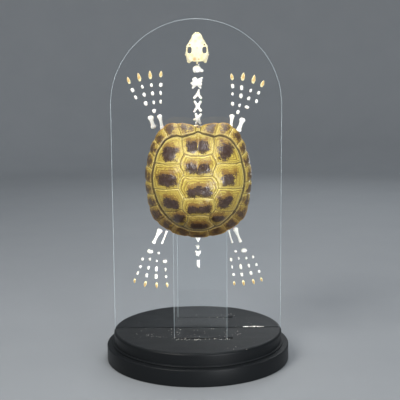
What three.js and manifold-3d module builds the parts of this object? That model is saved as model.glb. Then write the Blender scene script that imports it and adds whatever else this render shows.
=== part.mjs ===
// A tortoise skeleton, taken apart and mounted on clear panels that stand in a round black base.
// Millimetres, +Z up, the head up and the back towards -Y, the origin under the middle of the base.
import * as THREE from "three";
import { mergeVertices } from "three/addons/utils/BufferGeometryUtils.js";
import Module from "manifold-3d";

const wasm = await Module();
wasm.setup();

// Driving dimensions: the base and the clear panels
const GAP = 0.3;
const ROUND_STEPS = 48;
const LOWER_DISC = { radius: 100, height: 18, round: 1.5 };
const UPPER_DISC = { radius: 93.5, height: 15, round: 3, bead: 1 };
const SLOT = { width: 4, depth: 10, stripLength: 64 };
const PANEL = { thickness: 3, width: 183, top: 369.3 };
const SHELL_STRIP = { y: -40.2, x: 3.2, width: 56.5, top: 256, slotX: 5.5 };
const PLASTRON_STRIP = { y: 40.2, x: 5.5, width: 56.5, top: 236, slotX: 8.2 };

// Driving dimensions: the shell, as a plan round its middle, with degrees counted from the head end
const SHELL = { x: 2, z: 203, dome: 42, wall: 3.2, rimWall: 2.6, seam: 0.7, spineDepth: 3.5 };
const RIM_RADIUS = [
  [0, 57.3], [10, 60], [20, 64.2], [28, 66.8], [36, 66], [45, 63.5], [60, 59.1], [75, 56.3], [90, 55],
  [105, 55.9], [120, 59.5], [132, 62], [145, 61.2], [155, 61.2], [165, 60.2], [180, 60.1],
];
const RIM_HEIGHT = [[0, 0], [22, 0], [45, -1.5], [70, -5], [100, -6], [130, -2.5], [155, 0], [180, 0]];
const EDGE_SEAM_RADIUS = [
  [0, 52.4], [5, 50.6], [13, 49.8], [19.4, 50.2], [25, 53.2], [35, 55.3], [43, 54.2], [55, 52], [65, 49.5],
  [80, 48], [96.5, 46.6], [110, 46.2], [128, 47.5], [142, 48.5], [155, 49.8], [160, 49], [168, 50.1],
  [180, 50.3],
];
const EDGE_SEAM_HEIGHT = [
  [0, 10], [25, 10], [50, 14], [75, 19], [100, 19], [125, 15], [150, 13], [180, 13],
];
const DOME_POWER = 2.6;
const BRIDGE_BULGE = 2.5;
// How far below the rim's plane the middle lies from which the shell is thickened
const THICKNESS_MIDDLE = 25;
// Each scute has rings at [share of its size, rise], inside its sunk outline
const BIG_SCUTE_RINGS = [[0.86, 0.1], [0.45, 0.9]];
const EDGE_SCUTE_RINGS = [[0.8, 0.15]];
const EDGE_SCUTE_HEART = { turn: 0.1, out: 1.62 };
const INSIDE_RINGS = [1.15, 0.8, 0.45];
const SPINE = { halfWidth: 0.09, reach: 1.2 };
// The seams between the edge scutes, and the places on the edge seam where the big scutes meet
const EDGE_SCUTES = [3, 19.4, 33, 46, 58, 72, 89, 104, 118, 135, 150, 169];
const EDGE_MIDDLES = [11, 26, 39.5, 52, 65, 80.5, 96.5, 111, 128, 142, 160];
const SEAMS = {
  v1v2: [[0, 30.2], [7.5, 30.3]],
  v2v3: [[0, 9.4], [7.5, 10]],
  v3v4: [[0, -10.7], [8, -11.7]],
  v4v5: [[0, -30.5], [6, -31.2]],
  v1c1: [[16.4, 43], [16.1, 38.6], [15.2, 35]],
  v1v2c1: [[14.5, 31.9]],
  v2c1: [[16.2, 28.6], [18, 25.5]],
  v2c1c2: [[18.7, 22.3]],
  v2c2: [[17.5, 19.4], [15.2, 14.8]],
  v2v3c2: [[14.9, 10.5]],
  v3c2: [[17.2, 7.8], [19.3, 3]],
  v3c2c3: [[19.9, -2.2]],
  v3c3: [[18.2, -5.8], [15.7, -9.6]],
  v3v4c3: [[15, -12.3]],
  v4c3: [[16.2, -16.2], [16.9, -20.5]],
  v4c3c4: [[17.1, -24.4]],
  v4c4: [[14.8, -27.1], [12.6, -29.5]],
  v4v5c4: [[10.8, -31.5]],
  v5c4: [[11, -35.9], [13.2, -40.1]],
  c1c2: [[27, 21.6], [36, 21.2]],
  c2c3: [[28.5, -3.4], [37.5, -4.5]],
  c3c4: [[23.5, -27.4], [30.7, -28.8]],
};

// Driving dimensions: the plastron, half of it, as a plan round its middle
const PLASTRON = { x: 5, z: 201, flat: 34, bridge: 40, curl: 0.07, wall: 4 };
const PLASTRON_SCUTE = { seam: 0.5, lip: 0.82, crown: 0.2 };
const PLASTRON_SCUTES = [
  [[0, 50.5], [4, 53], [9.5, 52], [13.5, 47.5], [0, 39.5]],
  [[0, 39.5], [13.5, 47.5], [22.5, 42], [29, 35.5], [33, 28.5], [20, 25], [0, 23]],
  [
    [0, 23], [20, 25], [33, 28.5], [34.5, 24], [40, 21.5], [46, 20.5],
    [47, 12], [34, 13.5], [18, 16.5], [0, 16],
  ],
  [
    [0, 16], [18, 16.5], [34, 13.5], [47, 12], [48, 2], [47.5, -9], [46, -17.5],
    [40, -19.5], [34.5, -22.5], [20, -21.5], [0, -18],
  ],
  [[0, -18], [20, -21.5], [34.5, -22.5], [32.5, -27], [31.5, -34], [28.5, -41], [14, -36], [0, -33]],
  [[0, -33], [14, -36], [28.5, -41], [21.5, -48.5], [13.5, -52.5], [9, -53.5], [0, -45.5]],
];

// Driving dimensions: the bones on the main panel, in the plane of the panel as [x, z], with their
// half widths and the half depth that they stand out from it
const SKULL = { x: 1.4, lift: 3.3 };
// The skull's rings are [z, half width, half depth]
const SKULL_RINGS = [
  [353.4, 1.8, 2], [352, 4.4, 3.2], [348.5, 5.7, 4.3], [344.5, 7.7, 5.3], [341.2, 10.2, 6],
  [338, 11.4, 6.4], [333.5, 12.1, 6.5], [329.5, 11.6, 5.8], [326.5, 10.4, 4.6], [325.2, 9.2, 3.6],
];
const SKULL_LOBE = [[8, 331, 2.2], [8.4, 326, 2.1], [8.3, 323.4, 1.4]];
const SKULL_CREST = [[0, 331, 1.8], [0, 325, 1.1], [0, 321.8, 0.5]];
const EYE_SOCKET = { out: 7.9, z: 336.6, halfWidth: 2.3, halfHeight: 3.3 };
const NOSE_OPENING = { z: 353.2, halfWidth: 2.2, halfHeight: 1.6, forward: 6.2 };
const JAW_SIDE = [
  [9.9, 327.5, 1.4], [11, 333.5, 1], [10.2, 340.5, 0.9], [7, 345.5, 1], [4.2, 350, 1.2], [0, 351.6, 1.5],
];
// An arm of a vertebra keeps its width up to this share of its length, then tapers
const ARM_TAPER = { from: 0.72, to: 0.55 };
const NECK = [
  { at: [1.3, 316.8], body: [4.2, 3.8], arms: [[5.2, -1.6, 1.7], [1.9, 4.6, 0.7], [-3, -3.2, 1.6]] },
  {
    at: [0.8, 302.8],
    body: [4.4, 4.4],
    arms: [[-5.6, -1, 1], [-4.4, -5.8, 1.2], [4.2, -5.8, 1.2], [6, 4.6, 1]],
  },
  { at: [1.9, 290.2], body: [2.3, 2.2], arms: [[1, 4.4, 1], [-3.6, -3.8, 1.3], [3.4, -4, 1.3]] },
  {
    at: [1.7, 277.2],
    body: [2.4, 2.8],
    arms: [[-3.4, 5.2, 1.3], [3.5, 5, 1.3], [-3.8, -5.4, 1.3], [3.3, -4.6, 1.5]],
  },
  {
    at: [1.7, 264.2],
    body: [2.6, 3],
    arms: [[-1.9, 4.8, 1.4], [3.1, 4.5, 1.3], [-4, -0.8, 1.1], [-1.5, -4.6, 1], [2.5, -5, 1.2]],
  },
  {
    at: [1.6, 250.5],
    body: [2.8, 3],
    arms: [[-3.6, 5, 1.4], [3.6, 5, 1.4], [-3.2, -5.2, 1.4], [3.2, -5, 1.4]],
  },
  {
    at: [1.8, 237.5],
    body: [3, 3],
    arms: [[-4, 4.6, 1.5], [3.8, 4.8, 1.5], [-3.4, -5, 1.5], [3.6, -4.8, 1.5]],
  },
  {
    at: [1.5, 225],
    body: [3.4, 2.8],
    arms: [[-4.6, 3.8, 1.6], [4.4, 4, 1.6], [-3, -4.6, 1.5], [3.2, -4.6, 1.5]],
  },
];
const TAIL = [
  { at: [0.9, 134], body: [2, 2.6], arms: [[-2, 2.6, 1.2], [2, 2.6, 1.2], [0.1, -2.8, 0.9]] },
  { at: [0.7, 125.4], body: [1.5, 2.1], arms: [[-1.6, 0.9, 0.7], [0.2, -1.8, 1]] },
  {
    at: [1, 117.8],
    body: [2, 2],
    arms: [[-2.2, 2, 1], [2.2, 2, 1], [-1.7, -1.6, 1.1], [0.3, -2.6, 1]],
  },
  { at: [1.1, 105.8], body: [1.4, 3.6], arms: [[-0.9, 3.6, 1.1], [0.9, 3.7, 1], [0.9, -3.7, 0.9]] },
];
// Each limb bone runs through [x, z, half width], with one half depth
const LIMB_BONES = {
  left_ulna: {
    depth: 1.7,
    line: [
      [-48.6, 267.2, 2.6], [-48.3, 265, 3.1], [-47, 260.6, 2], [-45.8, 256.4, 2.9],
      [-45.5, 254.9, 2.1],
    ],
  },
  left_radius: {
    depth: 1.6,
    line: [
      [-39.6, 268.5, 1.9], [-38.9, 266.4, 2.7], [-37.6, 261.4, 1.6], [-36.7, 256, 2.1],
      [-35.4, 251.2, 2.8], [-35.1, 249.8, 1.9],
    ],
  },
  right_radius: {
    depth: 1.6,
    line: [
      [38.2, 268.3, 2], [38.1, 266.2, 2.7], [37.6, 260.6, 1.5], [36.8, 255.4, 1.9],
      [36, 251.2, 2.7], [35.8, 249.9, 1.8],
    ],
  },
  right_ulna: {
    depth: 1.7,
    line: [
      [49.7, 264.3, 2.2], [49, 262, 3.2], [47.4, 257.4, 2], [45.6, 252.6, 2.8], [45, 250.6, 2],
    ],
  },
  left_humerus: {
    depth: 2.7,
    line: [
      [-36.4, 246.6, 2.6], [-35, 244.2, 4.3], [-31.2, 238.4, 2.2], [-28, 231.6, 2.2],
      [-24, 225.4, 4.2], [-22.4, 222.8, 3],
    ],
  },
  right_humerus: {
    depth: 2.7,
    line: [
      [38.8, 246.4, 2.6], [37.4, 244, 4.3], [33.6, 238, 2.2], [30.4, 231.2, 2.2],
      [26.6, 225.2, 4.2], [25, 222.6, 3],
    ],
  },
  left_tibia: {
    depth: 1.7,
    line: [
      [-40, 144.4, 2.4], [-40.8, 142.2, 3.2], [-44, 136.4, 1.5], [-46.9, 130.4, 2],
      [-47.9, 128.4, 2.5],
    ],
  },
  left_fibula: {
    depth: 1.2,
    line: [
      [-32.5, 143.8, 1.8], [-33.2, 141.4, 1.4], [-36.2, 133.8, 0.9], [-38, 129.4, 1.2],
      [-38.7, 126.6, 1.7],
    ],
  },
  right_tibia: {
    depth: 1.7,
    line: [
      [41.3, 145.6, 2.2], [42, 143.2, 2.9], [44.4, 137, 1.4], [46.9, 131, 1.8], [47.9, 128.8, 2.4],
    ],
  },
  right_fibula: {
    depth: 1.2,
    line: [
      [34.1, 144, 1.6], [34.7, 141.4, 1.2], [36.4, 135.2, 0.9], [38.1, 129.8, 1.1],
      [39.2, 126.6, 1.6],
    ],
  },
  left_femur: {
    depth: 2.5,
    line: [
      [-34.6, 148.2, 3], [-33.4, 150.4, 4], [-30, 156.4, 2], [-26.4, 163.4, 2], [-22.4, 169.4, 4],
      [-20.6, 171.8, 2.8],
    ],
  },
  right_femur: {
    depth: 2.5,
    line: [
      [37.4, 148.6, 3], [36.4, 150.8, 4], [33, 156.6, 2], [29.6, 163.4, 2], [25.8, 169.4, 4],
      [24.2, 171.8, 2.8],
    ],
  },
};
const SHOULDER_GIRDLE = {
  out: 17,
  z: 213,
  depth: 1.8,
  lines: [
    [[0, 0, 3.2], [-1.2, 9, 1.7], [-3, 18.4, 1.9], [-3.5, 20.6, 1.4]],
    [[0, 0, 3], [-6, -3, 1.5], [-9.6, -4.6, 2]],
    [[0, 0, 3], [2.4, -7, 2.2], [4.6, -14.4, 4.6], [5, -17, 3.6]],
  ],
};
const PELVIS = {
  at: [1.8, 180],
  depth: 2.4,
  bevel: 0.8,
  outline: [
    [0, 13], [6, 15.5], [14, 12.5], [16.5, 6.5], [13.5, 1.5],
    [15, -6], [13, -12.5], [6, -10.5], [0, -14.5],
  ],
  windows: { out: 7.2, halfWidth: 3.3, halfHeight: 4.6 },
  hipBone: [[14, 5, 3], [13.2, 13, 2.2], [11.6, 20.6, 2.6], [11.2, 22.4, 1.8]],
};
// Each claw is [x, z, length, width, heading], the heading in degrees turned from straight up
const CLAWS = {
  left_hand: [
    [-71.4, 305.3, 8, 3.5, -17], [-60.2, 308.7, 9.6, 4, -14], [-48.4, 310.8, 9.2, 4, -6],
    [-37, 311.7, 7, 3.6, 6],
  ],
  right_hand: [
    [38.1, 308.4, 7.6, 3.6, -13], [50, 308.5, 9.1, 4.3, 10], [61.2, 305.6, 9.6, 4.5, 11],
    [70.6, 300.8, 7.8, 4, 23],
  ],
  left_foot: [
    [-68.9, 86.9, 5.4, 2.8, 184], [-57.3, 83.2, 7, 3.3, 195], [-44.7, 81.7, 7.2, 3, 178],
    [-33.3, 82, 5.8, 2.8, 171],
  ],
  right_foot: [
    [40.4, 83.3, 5, 2.6, 173], [50.6, 83.7, 6.6, 3.1, 168], [61.5, 85.1, 6.4, 3.2, 162],
    [70.2, 87.4, 5, 2.9, 159],
  ],
};
// A claw's rings are [share of its length from the middle, share of its half width]
const CLAW_RINGS = [[-0.5, 0.6], [-0.4, 0.95], [-0.1, 0.95], [0.25, 0.75], [0.5, 0.32]];
// The larger bones of the wrists and ankles, each [x, z, half width, half height, heading]
const WRIST_AND_ANKLE_BONES = {
  left_wrist_bone_1: [-44.8, 272.8, 2, 2.2, 10],
  left_wrist_bone_2: [-53.6, 280.9, 2, 2.5, -10],
  right_wrist_bone_1: [44.4, 270.9, 1.7, 2.2, 20],
  right_wrist_bone_2: [54, 276.1, 2.3, 1.7, 10],
  left_ankle_bone_1: [-51.2, 120.2, 3.2, 2.4, 10],
  left_ankle_bone_2: [-42, 117.9, 1.3, 1.5, 0],
  right_ankle_bone_1: [51, 120.2, 3.3, 2.3, -10],
  right_ankle_bone_2: [41.9, 119.4, 1.6, 1.4, 0],
};

// How deep a small bone is for its width
const FLATTENING = 0.9;

// Finishes
const FINISH = {
  blackPaint: { color: 0x0d0e10, roughness: 0.38, metalness: 0 },
  clear: { color: 0xdfeef2, roughness: 0.03, metalness: 0 },
  horn: { color: 0x8d7637, roughness: 0.42, metalness: 0 },
  plastronHorn: { color: 0xa58b4a, roughness: 0.45, metalness: 0 },
  skullBone: { color: 0xeae2c4, roughness: 0.55, metalness: 0 },
  bone: { color: 0xf0eee6, roughness: 0.6, metalness: 0 },
  claw: { color: 0xc2a068, roughness: 0.4, metalness: 0 },
};

const root = new THREE.Group();
const onPanel = new THREE.Group();
onPanel.position.y = -(PANEL.thickness / 2 + GAP);
root.add(onPanel);

// Adds one named piece to a group
function piece(group, name, geometry, finish) {
  const mesh = new THREE.Mesh(geometry, new THREE.MeshStandardMaterial(finish));
  mesh.name = name;
  group.add(mesh);
  return mesh;
}

// Closed geometry from triangles given as triples of [x, y, z], turned so that its faces point out
function closedGeometry(triangles) {
  let volume = 0;
  for (const [a, b, c] of triangles) {
    volume += a[0] * (b[1] * c[2] - b[2] * c[1]);
    volume += a[1] * (b[2] * c[0] - b[0] * c[2]);
    volume += a[2] * (b[0] * c[1] - b[1] * c[0]);
  }
  const outward = volume > 0 ? triangles : triangles.map(([a, b, c]) => [a, c, b]);
  const geometry = new THREE.BufferGeometry();
  geometry.setAttribute("position", new THREE.Float32BufferAttribute(outward.flat(2), 3));
  geometry.computeVertexNormals();
  return geometry;
}

// A solid for joining and cutting, from closed geometry
function solid(geometry) {
  const bare = new THREE.BufferGeometry();
  const open = geometry.index ? geometry.toNonIndexed() : geometry;
  bare.setAttribute("position", open.getAttribute("position").clone());
  const merged = mergeVertices(bare, 1e-4);
  const kept = [];
  for (let i = 0; i < merged.index.count; i += 3) {
    const [a, b, c] = [merged.index.getX(i), merged.index.getX(i + 1), merged.index.getX(i + 2)];
    if (a !== b && b !== c && c !== a) kept.push(a, b, c);
  }
  return new wasm.Manifold(
    new wasm.Mesh({
      numProp: 3,
      vertProperties: Float32Array.from(merged.attributes.position.array),
      triVerts: Uint32Array.from(kept),
    }),
  );
}

// Geometry from a joined or cut solid
function geometryOf(made) {
  const mesh = made.getMesh();
  const geometry = new THREE.BufferGeometry();
  geometry.setAttribute("position", new THREE.BufferAttribute(mesh.vertProperties, 3));
  geometry.setIndex(new THREE.BufferAttribute(mesh.triVerts, 1));
  geometry.computeVertexNormals();
  return geometry;
}

function joined(geometries) {
  return geometries.map(solid).reduce((all, next) => all.add(next));
}

function box(width, depth, height, x, y, z) {
  return new THREE.BoxGeometry(width, depth, height).translate(x, y, z);
}

// A ball stretched to half sizes, with its faces counted around and down
function pebble(halfSizes, middle, around, down) {
  return new THREE.SphereGeometry(1, around, down).scale(...halfSizes).translate(...middle);
}

// A value read from a table of [place, value], on a smooth line through its points
function along(table, place) {
  const last = table.length - 1;
  let i = 0;
  while (i < last - 1 && place > table[i + 1][0]) i += 1;
  const slope = (k) => {
    const a = table[Math.max(k - 1, 0)];
    const b = table[Math.min(k + 1, last)];
    return k === 0 || k === last ? 0 : (b[1] - a[1]) / (b[0] - a[0]);
  };
  const [x0, y0] = table[i];
  const [x1, y1] = table[i + 1];
  const span = x1 - x0;
  const t = (place - x0) / span;
  const t2 = t * t;
  const t3 = t2 * t;
  const ends = (2 * t3 - 3 * t2 + 1) * y0 + (3 * t2 - 2 * t3) * y1;
  return ends + span * ((t3 - 2 * t2 + t) * slope(i) + (t3 - t2) * slope(i + 1));
}

// A bone drawn through [x, z, half width, half depth, lift] in the panel's plane, lying on the panel
function bone(line, { sides = 8, depth = 1.5, lift = 0, square = 1 } = {}) {
  const deepest = Math.max(...line.map((p) => p[3] ?? depth));
  const rings = line.map(([x, z, width, ownDepth = depth], i) => {
    const before = line[Math.max(i - 1, 0)];
    const after = line[Math.min(i + 1, line.length - 1)];
    const run = new THREE.Vector2(after[0] - before[0], after[1] - before[1]).normalize();
    const ring = [];
    for (let k = 0; k < sides; k += 1) {
      const turn = ((k + 0.5) / sides) * 2 * Math.PI;
      const across = Math.sign(Math.cos(turn)) * Math.abs(Math.cos(turn)) ** square * width;
      const out = Math.sign(Math.sin(turn)) * Math.abs(Math.sin(turn)) ** square * ownDepth;
      ring.push([x + run.y * across, -lift - deepest + out, z - run.x * across]);
    }
    return ring;
  });
  const triangles = [];
  for (let i = 0; i + 1 < rings.length; i += 1) {
    for (let k = 0; k < sides; k += 1) {
      const next = (k + 1) % sides;
      triangles.push([rings[i][k], rings[i][next], rings[i + 1][k]]);
      triangles.push([rings[i][next], rings[i + 1][next], rings[i + 1][k]]);
    }
  }
  const end = rings[rings.length - 1];
  for (let k = 1; k + 1 < sides; k += 1) {
    triangles.push([rings[0][0], rings[0][k + 1], rings[0][k]]);
    triangles.push([end[0], end[k], end[k + 1]]);
  }
  return closedGeometry(triangles);
}

// A vertebra: an oval body with short arms that end at [x, z, half width]
function vertebra({ body: [halfWidth, halfHeight], arms }) {
  const depth = Math.min(halfWidth, halfHeight) * FLATTENING;
  const middle = pebble([halfWidth, depth, halfHeight], [0, -depth, 0], 8, 4);
  const { from, to } = ARM_TAPER;
  const parts = arms.map(([x, z, half]) =>
    bone([[0, 0, half], [x * from, z * from, half], [x, z, half * to]], {
      sides: 4,
      depth: half,
      lift: Math.max(depth - half, 0) / 2,
    }),
  );
  return geometryOf(joined([middle, ...parts]));
}

// The two discs of the base, the upper one with a slot for each panel
function turned(profile) {
  const points = profile.map(([radius, height]) => new THREE.Vector2(radius, height));
  return new THREE.LatheGeometry(points, ROUND_STEPS).rotateX(Math.PI / 2);
}

function makeBase() {
  const low = LOWER_DISC;
  const lowProfile = [
    [0, 0],
    [low.radius - low.round, 0],
    [low.radius, low.round],
    [low.radius, low.height - low.round],
    [low.radius - low.round, low.height],
    [0, low.height],
  ];
  piece(root, "lower_disc", geometryOf(solid(turned(lowProfile))), FINISH.blackPaint);

  const high = UPPER_DISC;
  const foot = low.height;
  const top = foot + high.height;
  const slope = high.round * (1 - Math.SQRT1_2);
  const highProfile = [
    [0, foot],
    [high.radius, foot],
    [high.radius, foot + high.bead],
    [high.radius - high.bead, foot + 2 * high.bead],
    [high.radius - high.bead, top - high.round],
    [high.radius - high.bead - slope, top - slope],
    [high.radius - high.bead - high.round, top],
    [0, top],
  ];
  const spare = 1;
  const slotMiddle = top - (SLOT.depth - spare) / 2;
  const cutter = (length, x, y) => solid(box(length, SLOT.width, SLOT.depth + spare, x, y, slotMiddle));
  const disc = solid(turned(highProfile))
    .subtract(cutter(2 * (high.radius + spare), 0, 0))
    .subtract(cutter(SLOT.stripLength, SHELL_STRIP.slotX, SHELL_STRIP.y))
    .subtract(cutter(SLOT.stripLength, PLASTRON_STRIP.slotX, PLASTRON_STRIP.y));
  piece(root, "upper_disc", geometryOf(disc), FINISH.blackPaint);
}

// The clear panels, which stand on the floors of the slots
const PANEL_FOOT = LOWER_DISC.height + UPPER_DISC.height - SLOT.depth + GAP;

function makePanels() {
  const half = PANEL.width / 2;
  const outline = new THREE.Shape();
  outline.moveTo(-half, PANEL_FOOT);
  outline.lineTo(half, PANEL_FOOT);
  outline.lineTo(half, PANEL.top - half);
  outline.absarc(0, PANEL.top - half, half, 0, Math.PI, false);
  const main = new THREE.ExtrudeGeometry(outline, {
    depth: PANEL.thickness,
    bevelEnabled: false,
    curveSegments: ROUND_STEPS / 2,
  })
    .rotateX(Math.PI / 2)
    .translate(0, PANEL.thickness / 2, 0);
  piece(root, "skeleton_panel", geometryOf(solid(main)), FINISH.clear);
  for (const [name, strip] of [["shell_strip", SHELL_STRIP], ["plastron_strip", PLASTRON_STRIP]]) {
    const height = strip.top - PANEL_FOOT;
    const slab = box(strip.width, PANEL.thickness, height, strip.x, strip.y, PANEL_FOOT + height / 2);
    piece(root, name, slab, FINISH.clear);
  }
}

// The carapace is worked out on a chart: 0 is the top of the dome, 1 the edge seam and 2 the rim
const RIM = 2;
const NEAR_RIM = 1.99;
const RIM_Y = SHELL_STRIP.y - PANEL.thickness / 2 - GAP;
const chartAt = (degrees, out) => {
  const turn = THREE.MathUtils.degToRad(degrees);
  return [out * Math.sin(turn), out * Math.cos(turn)];
};
const mirrored = (points) => points.map(([a, b]) => [-a, b]).reverse();

function chartOfPlan([a, b]) {
  const degrees = THREE.MathUtils.radToDeg(Math.atan2(Math.abs(a), b));
  const scale = along(EDGE_SEAM_RADIUS, degrees);
  return [a / scale, b / scale];
}

// A point of the shell from its place on the chart, raised by so much from the plain dome
function shellPoint([u, v], raise) {
  const out = Math.hypot(u, v);
  const degrees = THREE.MathUtils.radToDeg(Math.atan2(Math.abs(u), v));
  const seamRadius = along(EDGE_SEAM_RADIUS, degrees);
  const seamHeight = along(EDGE_SEAM_HEIGHT, degrees);
  let radius = seamRadius * Math.min(out, 1);
  let height = seamHeight + (SHELL.dome - seamHeight) * (1 - Math.min(out, 1) ** DOME_POWER);
  if (out > 1) {
    const down = out - 1;
    const atBridge = Math.sin(THREE.MathUtils.degToRad(degrees)) ** 4;
    radius += (along(RIM_RADIUS, degrees) - seamRadius) * down;
    radius += BRIDGE_BULGE * atBridge * 4 * down * (1 - down);
    height += (along(RIM_HEIGHT, degrees) - seamHeight) * down;
  }
  const a = out > 0 ? (u / out) * radius : 0;
  const b = out > 0 ? (v / out) * radius : 0;
  const from = new THREE.Vector3(a, b, height);
  const outward = new THREE.Vector3(a, b, height + THICKNESS_MIDDLE).normalize();
  const at = out > NEAR_RIM ? from : from.addScaledVector(outward, raise);
  return [SHELL.x + at.x, RIM_Y - at.z, SHELL.z + at.y];
}

// One outline drawn in towards its heart, to a share of its size
function drawnIn(outline, heart, share) {
  return outline.map((p) => [0, 1].map((i) => heart[i] + (p[i] - heart[i]) * share));
}

// One scute: sunk at its seams, with a lip, and rising to the smooth patch that it grew from
function scute(outline, heart, inner) {
  const rings = [outline.map((p) => shellPoint(p, -SHELL.seam))];
  for (const [share, raise] of inner) {
    rings.push(drawnIn(outline, heart, share).map((p) => shellPoint(p, raise)));
  }
  const crown = shellPoint(heart, inner[inner.length - 1][1]);
  const triangles = [];
  for (let k = 0; k < outline.length; k += 1) {
    const next = (k + 1) % outline.length;
    for (let i = 0; i + 1 < rings.length; i += 1) {
      triangles.push([rings[i][k], rings[i][next], rings[i + 1][k]]);
      triangles.push([rings[i][next], rings[i + 1][next], rings[i + 1][k]]);
    }
    triangles.push([rings[rings.length - 1][k], rings[rings.length - 1][next], crown]);
  }
  return triangles;
}

function shellScutes() {
  const onChart = Object.entries(SEAMS).map(([name, points]) => [name, points.map(chartOfPlan)]);
  const S = Object.fromEntries(onChart);
  const edge = (...degrees) => degrees.map((d) => chartAt(d, 1));
  const back = (points) => [...points].reverse();
  const whole = (half) => [...half, ...mirrored(half).slice(1, -1)];
  const vertebrals = [
    [edge(0, 3, 11, 19.4), S.v1c1, S.v1v2c1, back(S.v1v2)],
    [S.v1v2, S.v1v2c1, S.v2c1, S.v2c1c2, S.v2c2, S.v2v3c2, back(S.v2v3)],
    [S.v2v3, S.v2v3c2, S.v3c2, S.v3c2c3, S.v3c3, S.v3v4c3, back(S.v3v4)],
    [S.v3v4, S.v3v4c3, S.v4c3, S.v4c3c4, S.v4c4, S.v4v5c4, back(S.v4v5)],
    [S.v4v5, S.v4v5c4, S.v5c4, edge(160, 169, 180)],
  ].map((parts) => whole(parts.flat()));
  const costals = [
    [
      edge(19.4, 26, 33, 39.5, 46, 52, 58, 65), back(S.c1c2), S.v2c1c2, back(S.v2c1), S.v1v2c1,
      back(S.v1c1),
    ],
    [
      edge(65, 72, 80.5, 89, 96.5), back(S.c2c3), S.v3c2c3, back(S.v3c2), S.v2v3c2, back(S.v2c2),
      S.v2c1c2, S.c1c2,
    ],
    [
      edge(96.5, 104, 111, 118, 128), back(S.c3c4), S.v4c3c4, back(S.v4c3), S.v3v4c3, back(S.v3c3),
      S.v3c2c3, S.c2c3,
    ],
    [
      edge(128, 135, 142, 150, 160), back(S.v5c4), S.v4v5c4, back(S.v4c4), S.v4c3c4, S.c3c4,
    ],
  ].map((parts) => parts.flat());
  // A big scute grew from a patch a little towards the tail of its middle
  const heartOf = (outline) => {
    const sum = outline.reduce(([x, y], [u, v]) => [x + u, y + v], [0, 0]);
    return [sum[0] / outline.length, sum[1] / outline.length - 0.04];
  };
  const triangles = [];
  for (const outline of vertebrals) {
    triangles.push(...scute(outline, [0, heartOf(outline)[1]], BIG_SCUTE_RINGS));
  }
  for (const outline of costals) {
    for (const side of [outline, mirrored(outline)]) {
      triangles.push(...scute(side, heartOf(side), BIG_SCUTE_RINGS));
    }
  }
  // The edge scutes, from the small one over the neck to the one over the tail
  const edgeScute = (from, middle, to) => {
    const outline = [
      chartAt(from, RIM), chartAt(middle, RIM), chartAt(to, RIM), chartAt(to, 1.5),
      chartAt(to, 1), chartAt(middle, 1), chartAt(from, 1), chartAt(from, 1.5),
    ];
    const { turn, out } = EDGE_SCUTE_HEART;
    return { outline, heart: chartAt(middle + (to - from) * turn, out) };
  };
  const edgeScutes = [edgeScute(-3, 0, 3), edgeScute(169, 180, 191)];
  EDGE_MIDDLES.forEach((middle, i) => {
    const right = edgeScute(EDGE_SCUTES[i], middle, EDGE_SCUTES[i + 1]);
    const [heartU, heartV] = right.heart;
    edgeScutes.push(right, { outline: mirrored(right.outline), heart: [-heartU, heartV] });
  });
  for (const { outline, heart } of edgeScutes) {
    triangles.push(...scute(outline, heart, EDGE_SCUTE_RINGS));
  }
  return triangles;
}

// The inside of the carapace follows the outside, with the backbone as a ridge down the middle
function shellInside() {
  const half = [...EDGE_SCUTES, ...EDGE_MIDDLES].sort((a, b) => a - b);
  const turns = [0, ...half, 180, ...half.map((d) => 360 - d).reverse()];
  const inward = ([u, v]) => {
    const ridge = Math.hypot(u, v) < SPINE.reach ? Math.exp(-((u / SPINE.halfWidth) ** 2)) : 0;
    return shellPoint([u, v], -(SHELL.wall + SHELL.spineDepth * ridge));
  };
  const rimOf = (d) => {
    const [x, y, z] = shellPoint(chartAt(d, RIM), 0);
    const across = new THREE.Vector2(SHELL.x - x, SHELL.z - z).setLength(SHELL.rimWall);
    return [x + across.x, y, z + across.y];
  };
  const rings = [
    turns.map((d) => shellPoint(chartAt(d, RIM), 0)),
    turns.map(rimOf),
    ...INSIDE_RINGS.map((out) => turns.map((d) => inward(chartAt(d, out)))),
  ];
  const crown = inward([0, 0]);
  const triangles = [];
  turns.forEach((_, k) => {
    const next = (k + 1) % turns.length;
    for (let i = 0; i + 1 < rings.length; i += 1) {
      triangles.push([rings[i][next], rings[i][k], rings[i + 1][k]]);
      triangles.push([rings[i][next], rings[i + 1][k], rings[i + 1][next]]);
    }
    triangles.push([rings[rings.length - 1][next], rings[rings.length - 1][k], crown]);
  });
  return triangles;
}

function makeCarapace() {
  piece(root, "carapace", closedGeometry([...shellScutes(), ...shellInside()]), FINISH.horn);
}

// The plastron faces the other way, flat where it lies on its strip, its bridges curling to the front
const PLASTRON_Y = PLASTRON_STRIP.y + PANEL.thickness / 2 + GAP;

function plastronPoint([a, b], raise) {
  const past = Math.max(Math.abs(a) - PLASTRON.flat, 0);
  const y = PLASTRON_Y - PLASTRON.curl * past * past;
  return [PLASTRON.x + a, y + raise, PLASTRON.z + b];
}

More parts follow.
